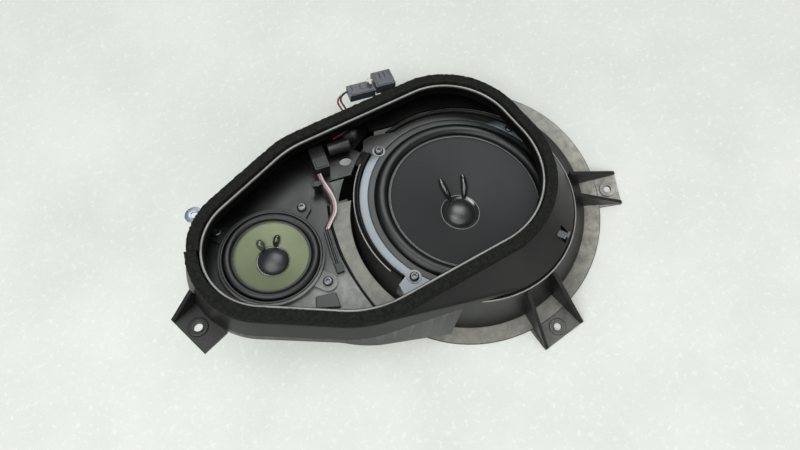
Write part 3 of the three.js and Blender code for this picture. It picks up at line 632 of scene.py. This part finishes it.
def make_bracket(name, place, start, width, reach, tall, sides, node, look, taper=1.0, painted_sheen_look=None):
    """A foot with a raised, drilled boss between gussets, along +X of its frame.

    taper is the gussets' distance from the middle line at their inner end, as a share of that at the foot.
    """
    end = start + reach
    middle = end - FOOT / 2
    plate = block((FOOT + 2, width, FOOT_THICK), (middle - 1, 0, FOOT_THICK / 2), place)
    boss = rounded([(0.5, 0.1), (BOSS_RADIUS, 0.1), (BOSS_RADIUS, BOSS_TOP), (0.5, BOSS_TOP)], 0.5)
    tools = [raw(*turned(boss, 48), place @ shifted(middle, 0))]
    side_view = [(start, 0), (end, 0), (end, 4), (end - 1.0, 4.6), (start, tall)]
    for side in sides:
        y, lean = side * (width - GUSSET) / 2, (1 - taper) / reach
        loops = [[Vector((x, y * (1 - (end - x) * lean) + skin, z)) for x, z in side_view]
                 for skin in (-GUSSET / 2, GUSSET / 2)]
        tools.append(raw(*loft(loops), place))
    combine(plate, tools, "UNION")
    bore = [(0, -2), (FOOT_HOLE, -2), (FOOT_HOLE, 3.1), (4.6, 3.2), (4.6, 9), (0, 9)]
    combine(plate, [raw(*turned(bore, 48, closed=False), place @ shifted(middle, 0))])
    finish_piece(plate, name, look, nodes=[node], bevel=0.35)
    # the upward faces get painted sheen
    if painted_sheen_look:
        up = place.to_3x3() @ Vector((0, 0, 1))
        paint(plate, painted_sheen_look, lambda at, normal: normal.dot(up) > 0.9)


BRACKET_END = FLANGE_RADIUS + FOOT
make_drum()
# the brackets' upward faces get painted sheen, paler on the right one
for angle, width, tall, start, name, face in ((-12, 28, 36, 81, "bracket_right", "flange_painted_sheen"),
                                              (-74.5, 37, 58, 82.5, "bracket_front", "foot_painted_sheen")):
    make_bracket(name, FLANGE @ spun(angle), start, width, BRACKET_END - start, tall, (-1, 1), "drum_housing",
                 "drum_plastic", taper=0.66, painted_sheen_look=face)

# ---------- egg-shaped collar
# the collar's outlines, each the hull of discs (x, y, radius), at the lip and at the foot of the wall
LIP_DISCS = ((-146.5, -1.5, 41), (-89, 2, 67), (1, 37, 50), (-7, 13, 63.5))
BASE_DISCS = ((-148, -1, 55), (-89, 2, 80.5), (1, 37, 64), (0, 0, DRUM_RIM_RADIUS))
REACH = 11  # how far the ledge reaches outwards from the lip's inside
LIP_WIDTH = 2.6
LEDGE = 21.5
LIP_TOP = 25
WALL = 2.5
COLLAR_BASE = RIM_HEIGHT + FIT
SKIRT_END = -38
SHELF_EDGE = 47
SHELF_END = -48
FAR_FLOOR_END = 30
PLATE_BORE = 87
SPINE = (Vector((-146.5, -1.5)), Vector((0, 20)))  # a line from one driver's middle to the other's
TURNS = 180
LONGEST_STEP = 3.5
# the collar's section: outline, offset, height
COLLAR_SECTION = (
    (BASE_DISCS, -WALL, COLLAR_BASE), (BASE_DISCS, -0.3, COLLAR_BASE), (BASE_DISCS, 0, COLLAR_BASE + 0.3),
    (LIP_DISCS, REACH, LEDGE - 0.5), (LIP_DISCS, REACH - 0.5, LEDGE), (LIP_DISCS, LIP_WIDTH, LEDGE),
    (LIP_DISCS, LIP_WIDTH, LIP_TOP - 0.6), (LIP_DISCS, LIP_WIDTH - 0.5, LIP_TOP), (LIP_DISCS, 0.5, LIP_TOP),
    (LIP_DISCS, 0, LIP_TOP - 0.6), (LIP_DISCS, 0, LIP_TOP - 8), (LIP_DISCS, 1.8, LIP_TOP - 8),
    (LIP_DISCS, LIP_WIDTH, LEDGE - WALL), (LIP_DISCS, REACH - WALL, LEDGE - WALL),
)


def support(discs, turn):
    """The outline's farthest point in the direction of a turn, and that direction."""
    angle = 2 * math.pi * turn / TURNS
    nx, ny = math.cos(angle), math.sin(angle)
    x, y, r = max(discs, key=lambda d: d[0] * nx + d[1] * ny + d[2])
    return Vector((x + r * nx, y + r * ny)), Vector((nx, ny))


def outline_steps():
    """(turn, share) pairs: every turn once, and more where a side is straight."""
    steps = []
    for turn in range(TURNS):
        span = max((support(d, turn + 1)[0] - support(d, turn)[0]).length for d in (LIP_DISCS, BASE_DISCS))
        count = max(1, math.ceil(span / LONGEST_STEP))
        steps += [(turn, k / count) for k in range(count)]
    return steps


STEPS = outline_steps()


def outline(discs, offset, height, steps=STEPS):
    """A loop of points outside the discs' hull by offset; height is a number, or a function of x."""
    out = []
    for turn, share in steps:
        (p, n), (q, m) = support(discs, turn), support(discs, turn + 1)
        at = (p + n * offset).lerp(q + m * offset, share)
        h = height(at.x) if callable(height) else height
        out.append(Vector((at.x, at.y, h)))
    return out


def skirt_bottom(x):
    """The skirt hangs lower the nearer it is to the drum."""
    return -WALL - 0.6 * max(0.0, min(x, SKIRT_END) + 120)


def faces_inwards(at, normal):
    """Whether a face of the collar, its middle in millimetres, looks at the speakers rather than outwards."""
    local = BAFFLE.inverted() @ (at * MM) / MM
    turned_normal = BAFFLE.to_3x3().transposed() @ normal
    start, end = SPINE
    along = end - start
    share = max(0.0, min(1.0, (local.xy - start).dot(along) / along.length_squared))
    away = (local.xy - start - along * share).normalized()
    return turned_normal.xy.dot(away) < 0.3 and local.z < LIP_TOP - 0.7


def make_skirt():
    levels = (-WALL, skirt_bottom), (0, skirt_bottom), (0, COLLAR_BASE + 0.5), (-WALL, COLLAR_BASE + 0.5)
    skirt = raw(*loft([outline(BASE_DISCS, r, h) for r, h in levels], is_ring=True), BAFFLE)
    gap = 2.6
    drum_room = loft([floor_circle(DRUM_BASE_RADIUS + gap, 0), baffle_circle(DRUM_RIM_RADIUS + gap, RIM_HEIGHT)])
    return combine(skirt, [
        block((200, 300, 200), (SKIRT_END + 100, 0, 0), BAFFLE),
        raw(*drum_room, WORLD),
        block((700, 700, 40), (0, 0, -19), WORLD),
    ])


def make_far_floor():
    """What closes the gap between the wall and the drum's rim on the far side."""
    flat = [(p.x, p.y) for p in outline(BASE_DISCS, -WALL / 2, 0)]
    return combine(raw(*prism(flat, COLLAR_BASE, COLLAR_BASE + WALL), BAFFLE), [
        plug(DRUM_RIM_RADIUS + 0.7, -9, 19, BAFFLE, 128),
        block((300, 300, 40), (SHELF_END - 150, 0, 0), BAFFLE),
        block((400, 300, 40), (0, FAR_FLOOR_END - 150, 0), BAFFLE),
        block((32, 40, 40), (SHELF_END + 16, 56, 0), BAFFLE),
    ])


def make_collar():
    shell = raw(*loft([outline(discs, r, h) for discs, r, h in COLLAR_SECTION], is_ring=True), BAFFLE)
    combine(shell, [make_skirt(), make_far_floor()], "UNION")
    clip_slot = block((14, 9, 7), (72, 0, 9), BAFFLE @ spun(-47))
    harness_slot = block((9, 30, 9), (-60, 90, 10), BAFFLE)
    combine(shell, [clip_slot, harness_slot])
    finish_piece(shell, "collar_wall", "black_plastic", nodes=["egg_collar"], sharp=28)
    # painted shade on the collar's inner faces
    paint(shell, "painted_shade", faces_inwards)
    # a light bead along the lip's top: a painted highlight
    bead = [outline(LIP_DISCS, r, h) for r, h in round_section(LIP_WIDTH / 2, LIP_TOP + 0.05, 0.75, 0.5)]
    piece("lip_highlight_bead", loft(bead, is_ring=True), BAFFLE, "painted_highlight", sharp=70)


GAP_MIDDLE = (-4.3, -13)
GAP_RADIUS = 85
GROOVE = ((-97.5, 27, 0), (-100, 14, 0), (-101, 0, 0), (-101, -14, 0), (-99.3, -28, 0), (-96.5, -42, 0),
          (-92.5, -56, 0), (-88, -68, 0))
MID_EAR_RADIUS = 43  # where the small driver's screws are
MID_EARS = (45, 135, 225, 315)
MID_SCREWS = [MID @ spun(angle) @ shifted(MID_EAR_RADIUS, 0) for angle in MID_EARS]


def make_plate():
    """The plate that holds the small driver, with its groove and a pale crescent of painted sheen beside the
    woofer.
    """
    flat = [(p.x, p.y) for p in outline(BASE_DISCS, -2.2, 0)]
    plate = raw(*prism(flat, -WALL, 0), BAFFLE)
    window = block((30, SHELF_EDGE - 28, 20), (-75, (SHELF_EDGE + 28) / 2, 0), BAFFLE)
    combine(plate, [
        window,
        plug(PLATE_BORE, -9, 9, BAFFLE, 128),
        plug(GAP_RADIUS, -9, 9, BAFFLE @ shifted(*GAP_MIDDLE), 128),
        block((20, 36, 20), (83, -10, 0), BAFFLE @ spun(128)),
        block((20, PAD_WIDTH + 2, 20), (80, 0, 0), BAFFLE @ spun(218)),
        block((200, 300, 20), (SHELF_END + 100, 0, 0), BAFFLE),
        plug(33, -9, 9, BAFFLE @ shifted(MID_X, 0), 96),
        plug(4, -9, 9, BAFFLE @ shifted(-73, 60) @ Matrix.Diagonal((1.25, 1, 1, 1))),
    ])
    path = smooth_path(GROOVE, 6)
    combine(plate, [raw(*tube(path, 1.0, 10), BAFFLE)])
    shadow = [p + Vector((0.2, 0, -0.75)) for p in path]
    piece("plate_groove_shadow", tube(shadow, 0.8, 10), BAFFLE, "painted_shade", sharp=70)
    # a crescent of painted sheen where the flange shows beside the woofer
    crescent = [(p.x + 1.2, p.y) for p in path if p.y > -62]
    crescent += arc(GAP_RADIUS + FIT, 216, 151, -3, GAP_MIDDLE)
    piece("plate_crescent", prism(crescent, -0.05, 0.25), BAFFLE, "flange_painted_sheen", sharp=50)
    finish_piece(plate, "midrange_plate", "grey_plastic", nodes=["egg_collar"], sharp=28)


make_collar()
make_plate()
make_bracket("bracket_left", BAFFLE @ shifted(*SPINE[0], -WALL) @ spun(207.5), 53, 32, 20, 20, (-1,),
             "egg_collar", "black_plastic")


# ---------- foam gasket
GASKET_THICK = 6
GASKET_START = 84  # the turn at which the strip's ends meet


def gasket_section():
    """Points round the strip's section, close enough together for a rough surface."""
    inner, outer = LIP_WIDTH + FIT, REACH - 0.4
    low, high = LEDGE + FIT, LEDGE + FIT + GASKET_THICK
    corners = [(inner, low), (outer, low), (outer, high), (inner, high)]
    section = []
    for (a, b), (c, d) in zip(corners, corners[1:] + corners[:1]):
        count = 10 if b == d else 6
        section += [(a + (c - a) * k / count, b + (d - b) * k / count) for k in range(count)]
    return rounded(section, 0.7, 1)


def make_gasket():
    """One strip of foam, its two ends meeting at the small end of the collar."""
    first = next(i for i, (turn, _) in enumerate(STEPS) if turn >= GASKET_START)
    order = STEPS[first:] + STEPS[:first]
    dense = []
    for (turn, share), after in zip(order, order[1:] + order[:1]):
        ahead = after[1] if after[0] == turn else 1.0
        dense += [(turn, share), (turn, (share + ahead) / 2)]
    rails = [outline(LIP_DISCS, r, h, dense) for r, h in gasket_section()]
    total = len(dense)
    loops = []
    for i in range(total):
        drift = 0.7 * math.exp(-i / 9) - 0.9 * math.exp(-(total - 1 - i) / 9)
        away = (rails[12][i] - rails[0][i]) * Vector((1, 1, 0))
        away = away.normalized() * drift
        loops.append([rail[i] + away for rail in rails])
    made = raw(*loft(loops), BAFFLE)
    normals = [vertex.normal.copy() for vertex in made.data.vertices]
    for vertex, normal in zip(made.data.vertices, normals):
        p = vertex.co / MM
        rough = noise.noise(p * 0.55) * 0.4 + noise.noise(p * 1.7) * 0.35
        wave = noise.noise(p * 0.06) * 0.5
        vertex.co += (normal * rough + AXIS * 0.4 * wave) * MM
    finish_piece(made, "foam_strip", "foam", nodes=["foam_gasket"], sharp=180)


make_gasket()

# ---------- loudspeakers
# heights are above the cone's edge; edge and neck are the cone's outer and inner radius
WOOFER = {
    "prefix": "woofer", "place": BAFFLE, "mover": "woofer_moving", "around": 160,
    "edge": 57.3, "neck": 10.7, "depth": 24, "cone_look": "dark_cone",
    # the woofer's edge_look is a painted highlight
    "roll_width": 9.6, "roll_height": 3.4, "seat": 71.8, "edge_look": "painted_edge_highlight",
    "cap_radius": 12.4, "cap_height": 5, "cap_look": "dust_cap_black", "glue_width": 2.6,
    "coil_radius": 10, "coil_top": -29.6, "coil_length": 6, "spider_radius": 36.8, "spider_height": -26.8,
}
MIDRANGE = {
    "prefix": "midrange", "place": MID, "mover": "midrange_moving", "around": 128,
    "edge": 27.3, "neck": 7.6, "depth": 11, "cone_look": "olive_cone",
    "roll_width": 5.4, "roll_height": 2, "seat": 34.4, "edge_look": "glue_olive",
    "cap_radius": 10.4, "cap_height": 4.6, "cap_look": "mid_cap", "glue_width": 1.0,
    "coil_radius": 7, "coil_top": -15.2, "coil_length": 4.5, "spider_radius": 19, "spider_height": -13.6,
}
CONE_THICK = 0.8
SKIN = 0.7  # the surround's thickness
SEAT = 2 * FIT  # the surround's underside


def cone_height(speaker, radius):
    share = (speaker["edge"] - radius) / (speaker["edge"] - speaker["neck"])
    return FIT - speaker["depth"] * share ** 1.05 if share > 0 else FIT


def radial_blend(made, place):
    """Sets made's points to their distance from its driver's axis, bakes its transform, then puts the points
    back.
    """
    back = place.inverted()
    rest = [vertex.co.copy() for vertex in made.data.vertices]
    for vertex in made.data.vertices:
        flat = back @ vertex.co
        vertex.co = (math.hypot(flat.x, flat.y), 0, 0)
    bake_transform(made)
    for vertex, co in zip(made.data.vertices, rest):
        vertex.co = co
    made.data.update()


def make_cone(speaker):
    edge, neck, steps = speaker["edge"], speaker["neck"], 26
    radii = [edge + (neck - edge) * i / steps for i in range(steps + 1)]
    face = [(radius, cone_height(speaker, radius)) for radius in radii]
    back = [(r, h - CONE_THICK) for r, h in reversed(face)]
    piece(speaker["prefix"] + "_cone_body", turned(back + face, speaker["around"]), speaker["place"],
          speaker["cone_look"], speaker["mover"], [speaker["prefix"] + "_cone"], sharp=60)


def make_surround(speaker):
    """The half roll, the flat rim on the basket, and a fine bead along the cone's edge."""
    prefix, place, edge, around = speaker["prefix"], speaker["place"], speaker["edge"], speaker["around"]
    half = speaker["roll_width"] / 2
    middle = edge + half
    outer, inner = [], []
    for a in (math.pi * i / 20 for i in range(21)):
        rise = SEAT + speaker["roll_height"] * math.sin(a)
        outer.append((middle + (half + SKIN / 2) * math.cos(a), rise + SKIN))
        inner.append((middle + (half - SKIN / 2) * math.cos(a), rise + 0.01))
    start, top = middle + half, SEAT + SKIN
    profile = [(edge - 1.6, SEAT), *reversed(inner), (start + 0.5, SEAT), *outer, (edge - 1.6, top)]
    roll = piece(f"{prefix}_roll_surround", turned(profile, around), place, "black_rubber", None,
                 [f"{prefix}_surround"], sharp=50)
    radial_blend(roll, place)
    seat = speaker["seat"]
    rim = rounded([(start + 0.6, SEAT), (seat, SEAT), (seat, top), (start + 0.6, top)], 0.15)
    piece(f"{prefix}_surround_rim", turned(rim, around), place, "rubber_step", nodes=[f"{prefix}_surround"])
    # a bead along the cone's edge; on the woofer its light colour is a painted highlight
    piece(f"{prefix}_edge_bead", turned(round_section(edge - 1.75, SEAT + SKIN * 0.7, 0.26), around), place,
          speaker["edge_look"], speaker["mover"], [], sharp=60)


def make_dust_cap(speaker):
    prefix, place, mover = speaker["prefix"], speaker["place"], speaker["mover"]
    cap, rise = speaker["cap_radius"], speaker["cap_height"]
    foot = cone_height(speaker, cap) + FIT
    quarter = [math.pi / 2 * k / 16 for k in range(17)]
    dome = [(cap * math.cos(a), foot + rise * math.sin(a)) for a in quarter]
    under = [((cap - 0.9) * math.cos(a), foot + (rise - 0.8) * math.sin(a)) for a in reversed(quarter)]
    piece(f"{prefix}_dome", turned(under + dome, 96, closed=False), place, speaker["cap_look"], mover,
          [f"{prefix}_dust_cap"], sharp=50)
    glue = cap + speaker["glue_width"]
    # a thin ring at the glue's edge; on the woofer its light colour is a painted highlight
    line = round_section(glue, cone_height(speaker, glue) + 0.35, 0.38)
    piece(f"{prefix}_cap_glue_line", turned(line, 96), place, speaker["edge_look"], mover, [], sharp=60)
    outside, inside = cone_height(speaker, glue), cone_height(speaker, cap)
    fillet = [(cap - 0.6, cone_height(speaker, cap - 0.6) + 0.05), (glue, outside + 0.05),
              (glue - 0.2, outside + 0.55), (cap + 0.1, inside + 1.0)]
    piece(f"{prefix}_cap_glue", turned(rounded(fillet, 0.2), 96), place, "glue", mover, [], sharp=60)


def make_coil(speaker):
    prefix, place, mover = speaker["prefix"], speaker["place"], speaker["mover"]
    coil, high, length = speaker["coil_radius"], speaker["coil_top"], speaker["coil_length"]
    low, top = high - length, cone_height(speaker, speaker["neck"]) + 1
    former = [(coil - 0.5, low - 0.8), (coil - 0.1, low - 0.8), (coil - 0.1, top), (coil - 0.5, top)]
    piece(f"{prefix}_former", turned(former, 96), place, "kraft_former", mover, [f"{prefix}_coil_former"])
    layers = 12
    winding = [(coil + 0.1, low)]
    for i in range(layers):
        h = high - length * (1 - (i + 0.5) / layers)
        winding += [(coil + 0.65, h - 0.2), (coil + 0.9, h), (coil + 0.65, h + 0.2)]
    winding.append((coil + 0.1, high))
    piece(f"{prefix}_winding", turned(winding, 96), place, "copper_wire", mover, [f"{prefix}_voice_coil"],
          sharp=60)


def make_spider(speaker):
    """A corrugated cloth ring between the coil former and the basket."""
    prefix, place = speaker["prefix"], speaker["place"]
    start, end, points = speaker["coil_radius"] + 0.8, speaker["spider_radius"], 72
    cloth = []
    for share in (i / points for i in range(points + 1)):
        fade = min(1.0, 6 * share, 6 * (1 - share))
        wave = 0.8 * fade * math.sin(share * 12 * math.pi)
        cloth.append((start + (end - start) * share, speaker["spider_height"] + 0.5 + wave))
    top = [(r, h + 0.4) for r, h in reversed(cloth)]
    spider = piece(f"{prefix}_spider_cloth", turned(cloth + top, 96), place, "spider_cloth", None,
                   [f"{prefix}_spider"], sharp=60)
    radial_blend(spider, place)


def lead_bump(speaker, side, angles, radii, look, fat, lift):
    """A ridge of glue over a lead, on the cone from the dust cap outwards. angles are in degrees."""
    prefix = speaker["prefix"]
    steps = 16
    path = []
    for i in range(steps + 1):
        share = i / steps
        radius = radii[0] + (radii[1] - radii[0]) * share
        angle = math.radians(angles[0] + (angles[1] - angles[0]) * share)
        path.append(Vector((radius * math.cos(angle), radius * math.sin(angle),
                            cone_height(speaker, radius) + lift * (0.4 + 0.6 * math.sin(math.pi * share)))))

    def thickness(share):
        return fat * (0.25 + 0.75 * math.sqrt(max(0.0, math.sin(math.pi * (0.06 + 0.88 * share)))))

    piece(f"{prefix}_lead_ridge_{side}", tube(path, thickness, 16), speaker["place"], look, speaker["mover"],
          [f"{prefix}_lead_glue_{side}"], sharp=70)


def screw_piece(name, place, top, length, node, washer=0.0):
    """A pan-head screw with a six-lobed socket."""
    profile = [(0.0001, top - length), (1.9, top - length + 1.5), (1.9, top - 2.1), (3.4, top - 2.1),
               (3.4, top - 0.9), (2.5, top), (0.0001, top)]
    head = raw(*turned(rounded(profile, 0.25, 2), 64), place)
    star = []
    for a in turn_steps(48):
        r = 1.45 + 0.27 * math.cos(6 * a)
        star.append((r * math.cos(a), r * math.sin(a)))
    combine(head, [raw(*prism(star, top - 1.5, top + 1), place)])
    finish_piece(head, name, "dark_steel", nodes=[node], sharp=30)
    if washer:
        flat = rounded([(2.5, top - 2.4), (washer, top - 2.4), (washer, top - 2.12), (2.5, top - 2.12)], 0.08)
        piece(name + "_washer", turned(flat, 64), place, "dark_steel")


def make_woofer_frame():
    bottom = -30.2
    profile = rounded([
        (22, bottom), (31, bottom), (39, bottom + 2), (66.5, -10), (70.3, -1), (WOOFER_FLANGE, -1),
        (WOOFER_FLANGE, 1.5), (72.2, 1.5), (72.2, FIT), (68.9, FIT), (68.9, -1.5), (65, -10.5), (37.4, -27.1),
        (33.5, -27.1), (32.5, bottom + 1.5), (22, bottom + 1.5)], 0.5, 3)
    basket = raw(*turned(profile, 160), BAFFLE)
    ears = []
    for side, angle in zip(LONG_EARS, EAR_ANGLES):
        if side:
            ear = raw(*prism(ear_outline(side), -1, 1.5), BAFFLE @ spun(angle))
            ears.append(combine(ear, [plug(73.5, -3, 3, BAFFLE, 128)]))
    combine(basket, ears, "UNION")
    cuts = [plug(SCREW_HOLE, -9, 9, place) for place in WOOFER_SCREWS]
    cuts += [block((19, 24, 40), (52, 0, -22), BAFFLE @ spun(60 * i)) for i in range(6)]
    combine(basket, cuts)
    finish_piece(basket, "woofer_frame", "basket_paint", nodes=["woofer_basket"], sharp=30)
    for i, place in enumerate(WOOFER_SCREWS):
        screw_piece(f"woofer_ear_screw_{i + 1}", place, 3.9, 15, f"woofer_screw_{i + 1}",
                    washer=5.2 if LONG_EARS[i] else 0.0)


def make_mid_frame():
    seat = -MID_Z + FIT
    bottom = -16.2
    thick = 2
    profile = rounded([
        (12, bottom), (20, bottom), (32, seat), (36.5, seat), (36.5, FIT + 0.6), (34.8, FIT + 0.6), (34.8, FIT),
        (32.6, FIT), (31, seat - 0.4), (20.4, bottom + 3), (19.4, -13.9), (17, -13.9), (16, bottom + 1.3),
        (12, bottom + 1.3)], 0.35, 3)
    basket = raw(*turned(profile, 128), MID)
    ears = []
    for angle, place in zip(MID_EARS, MID_SCREWS):
        ear = block((14, 13, thick), (MID_EAR_RADIUS - 5, 0, seat + thick / 2), MID @ spun(angle))
        combine(ear, [plug(6.5, seat, seat + thick, place, 48)], "UNION")
        ears.append(combine(ear, [plug(35, -9, 9, MID, 96)]))
    combine(basket, ears, "UNION")
    cuts = [plug(SCREW_HOLE, -9, 9, place) for place in MID_SCREWS]
    cuts += [block((6, 20, 10), (25.5, 0, bottom + 5.5), MID @ spun(90 * i)) for i in range(4)]
    combine(basket, cuts)
    finish_piece(basket, "midrange_frame", "grey_plastic", nodes=["midrange_basket"], sharp=30)
    top = seat + thick + FIT + 2.1
    for i, place in enumerate(MID_SCREWS):
        screw_piece(f"midrange_ear_screw_{i + 1}", place, top, 11, f"midrange_screw_{i + 1}")


def make_motor(speaker, plate_top, plate_thick, magnet_thick, back_thick, plate_radius, magnet_radius):
    prefix, place, coil = speaker["prefix"], speaker["place"], speaker["coil_radius"]
    magnet_top = plate_top - plate_thick - FIT
    back_top = magnet_top - magnet_thick - FIT

    def ring(name, bore, radius, top, thick, rounding, look, node):
        section = [(bore, top - thick), (radius, top - thick), (radius, top), (bore, top)]
        piece(f"{prefix}_{name}", turned(rounded(section, rounding), 128), place, look,
              nodes=[f"{prefix}_{node}"])

    ring("top_plate", coil + 1.5, plate_radius, plate_top, plate_thick, 0.5, "zinc_steel", "front_plate")
    ring("magnet", coil + 4.5, magnet_radius, magnet_top, magnet_thick, 1.0, "ferrite", "ring_magnet")
    pole = coil - 1.2
    vent = pole / 2.4
    back = [(vent, back_top - back_thick), (plate_radius, back_top - back_thick), (plate_radius, back_top),
            (pole, back_top), (pole, plate_top), (vent, plate_top)]
    piece(f"{prefix}_pole_piece", turned(rounded(back, 0.6), 128), place, "zinc_steel",
          nodes=[f"{prefix}_back_plate_and_pole"])


make_woofer_frame()
make_mid_frame()
for driver in (WOOFER, MIDRANGE):
    make_cone(driver)
    make_surround(driver)
    make_dust_cap(driver)
    make_coil(driver)
    make_spider(driver)
make_motor(WOOFER, -30.5, 4, 6.2, 3.2, 28, 29)
make_motor(MIDRANGE, -16.5, 3, 7, 3, 19, 21)
lead_bump(WOOFER, "left", (105, 103), (13.0, 29.0), "glue", 2.7, 1.8)
lead_bump(WOOFER, "right", (54, 66), (13.0, 29.0), "glue", 2.7, 1.8)
lead_bump(MIDRANGE, "left", (112, 108), (11.5, 17.5), "glue_olive", 2.8, 1.2)
lead_bump(MIDRANGE, "right", (66, 62), (11.5, 18.0), "glue", 2.5, 1.4)


# ---------- wiring and small fittings
WIRE = 0.72  # radius
OUTER_WIRE = 0.75
OUTER_ROUTE = ((-54.6, 114, 11), (-59, 112, 11), (-62, 107, 11), (-61, 98, 11), (-60.5, 88, 10), (-66, 81, 8),
               (-76, 78.6, 6))
INNER_ROUTE = ((-97, 51, 6), (-96.5, 43, 7), (-94.5, 33, 7), (-94, 25, 6.5), (-96, 18, 5), (-101, 12.5, 3),
               (-105, 8, 1.9))
INNER_END = ((-105, 8, 1.9), (-105.4, 0, 1.9), (-105.8, -10, 1.9), (-106.4, -23, 1.9))


def connector(name, size, middle, look, node, ribs):
    """A housing with fine moulded ribs and a shallow step along its back."""
    (length, width, tall), (x, y, z) = size, middle
    top = z + tall / 2 + 0.1
    parts = [block((length - 3, width * 0.28, 0.8), (x, y - width * 0.3, top), BAFFLE)]
    for i in range(ribs):
        along = x - length / 2 + (i + 0.5) * length / ribs
        parts.append(block((0.7, width * 0.4, 0.6), (along, y + width * 0.2, top), BAFFLE))
    body = combine(block(size, middle, BAFFLE), parts, "UNION")
    finish_piece(body, name, look, nodes=[node], bevel=0.35)


def wire(name, route, steps, radius, look, node):
    piece(name, tube(smooth_path(route, steps), radius), BAFFLE, look, nodes=[node], sharp=60)


def make_wiring():
    connector("socket_housing", (16, 15, 8), (-23, 114.5, 13), "connector_painted_sheen", "harness_socket", 4)
    connector("plug_housing", (21, 11, 7), (-42.5, 112, 11), "connector_painted_sheen", "harness_plug", 3)
    connector("crossover_housing", (11, 20, 11), (-93, 62, 6), "black_plastic", "crossover_connector", 5)
    can = rounded([(0.0001, 0), (5, 0), (5, 17), (0.0001, 17)], 0.8)
    piece("capacitor_can", turned(can, 48), BAFFLE @ shifted(-84, 70, 6) @ Matrix.Rotation(math.pi / 2, 4, "Y"),
          "black_pvc", nodes=["crossover_capacitor"])
    for name, aside in (("red", -1.2), ("black", 1.2)):
        route = [(x + aside, y, z + aside * 0.8) for x, y, z in OUTER_ROUTE]
        wire(f"outer_wire_{name}", route, 10, OUTER_WIRE, f"{name}_pvc", f"harness_lead_{name}")
    for name, end_look, aside in (("white", "grey_sleeve", 1.5), ("pink", "black_pvc", 0),
                                  ("black", "grey_sleeve", -1.5)):
        route = [(x + aside, y, z) for x, y, z in INNER_ROUTE]
        wire(f"inner_wire_{name}", route, 10, WIRE, f"{name}_pvc", f"inner_lead_{name}")
        route = [(x + aside, y, z) for x, y, z in INNER_END]
        wire(f"inner_wire_{name}_end", route, 8, WIRE - 0.02, end_look, f"inner_lead_{name}")
    sleeve = block((5.2, 6.6, 2.8), (-105.6, -23.4, 1.75), BAFFLE)
    combine(sleeve, [block((4.2, 5, 1.9), (-105.6, -22.0, 1.75), BAFFLE)])
    finish_piece(sleeve, "lead_sleeve", "black_rubber", nodes=["wire_sleeve"], bevel=0.5)


def make_fittings():
    pad = [(-129.5, -46), (-113.5, -50.5), (-113.5, -39.5), (-127, -38)]
    piece("foam_backed_pad", prism(pad, FIT, 3.5), BAFFLE, "rubber_step", nodes=["rubber_pad"], bevel=0.7)
    washer = [(2.4, 0), (6.5, 0), (6.5, 1.2), (2.4, 1.2)]
    spring = BAFFLE @ shifted(*SPINE[0]) @ spun(132)
    ring = raw(*turned(rounded(washer, 0.4), 64), spring @ shifted(61.6, 0, 9.5))
    combine(ring, [block((5, 5, 1.2), (57.6, 0, 10.1), spring)], "UNION")
    finish_piece(ring, "spring_washer", "bright_steel", nodes=["spring_clip"], sharp=30)


make_wiring()
make_fittings()

# ---------- CAD nodes that keep their own shape
KEPT = {
    "woofer_terminal_board": "kraft_former", "midrange_terminal_board": "kraft_former",
    "socket_bracket": "black_plastic", "locking_tab": "white_pvc", "wire_post": "grey_plastic",
    "collar_clip": "dark_steel",
}
for node, look in KEPT.items():
    kept = frame["nodes"][node]
    kept.data.materials.clear()
    kept.data.materials.append(LOOKS[look])
    rounding = kept.modifiers.new("bevel", "BEVEL")
    rounding.width = 0.3 * MM
    rounding.segments = 2
    rounding.limit_method = "ANGLE"
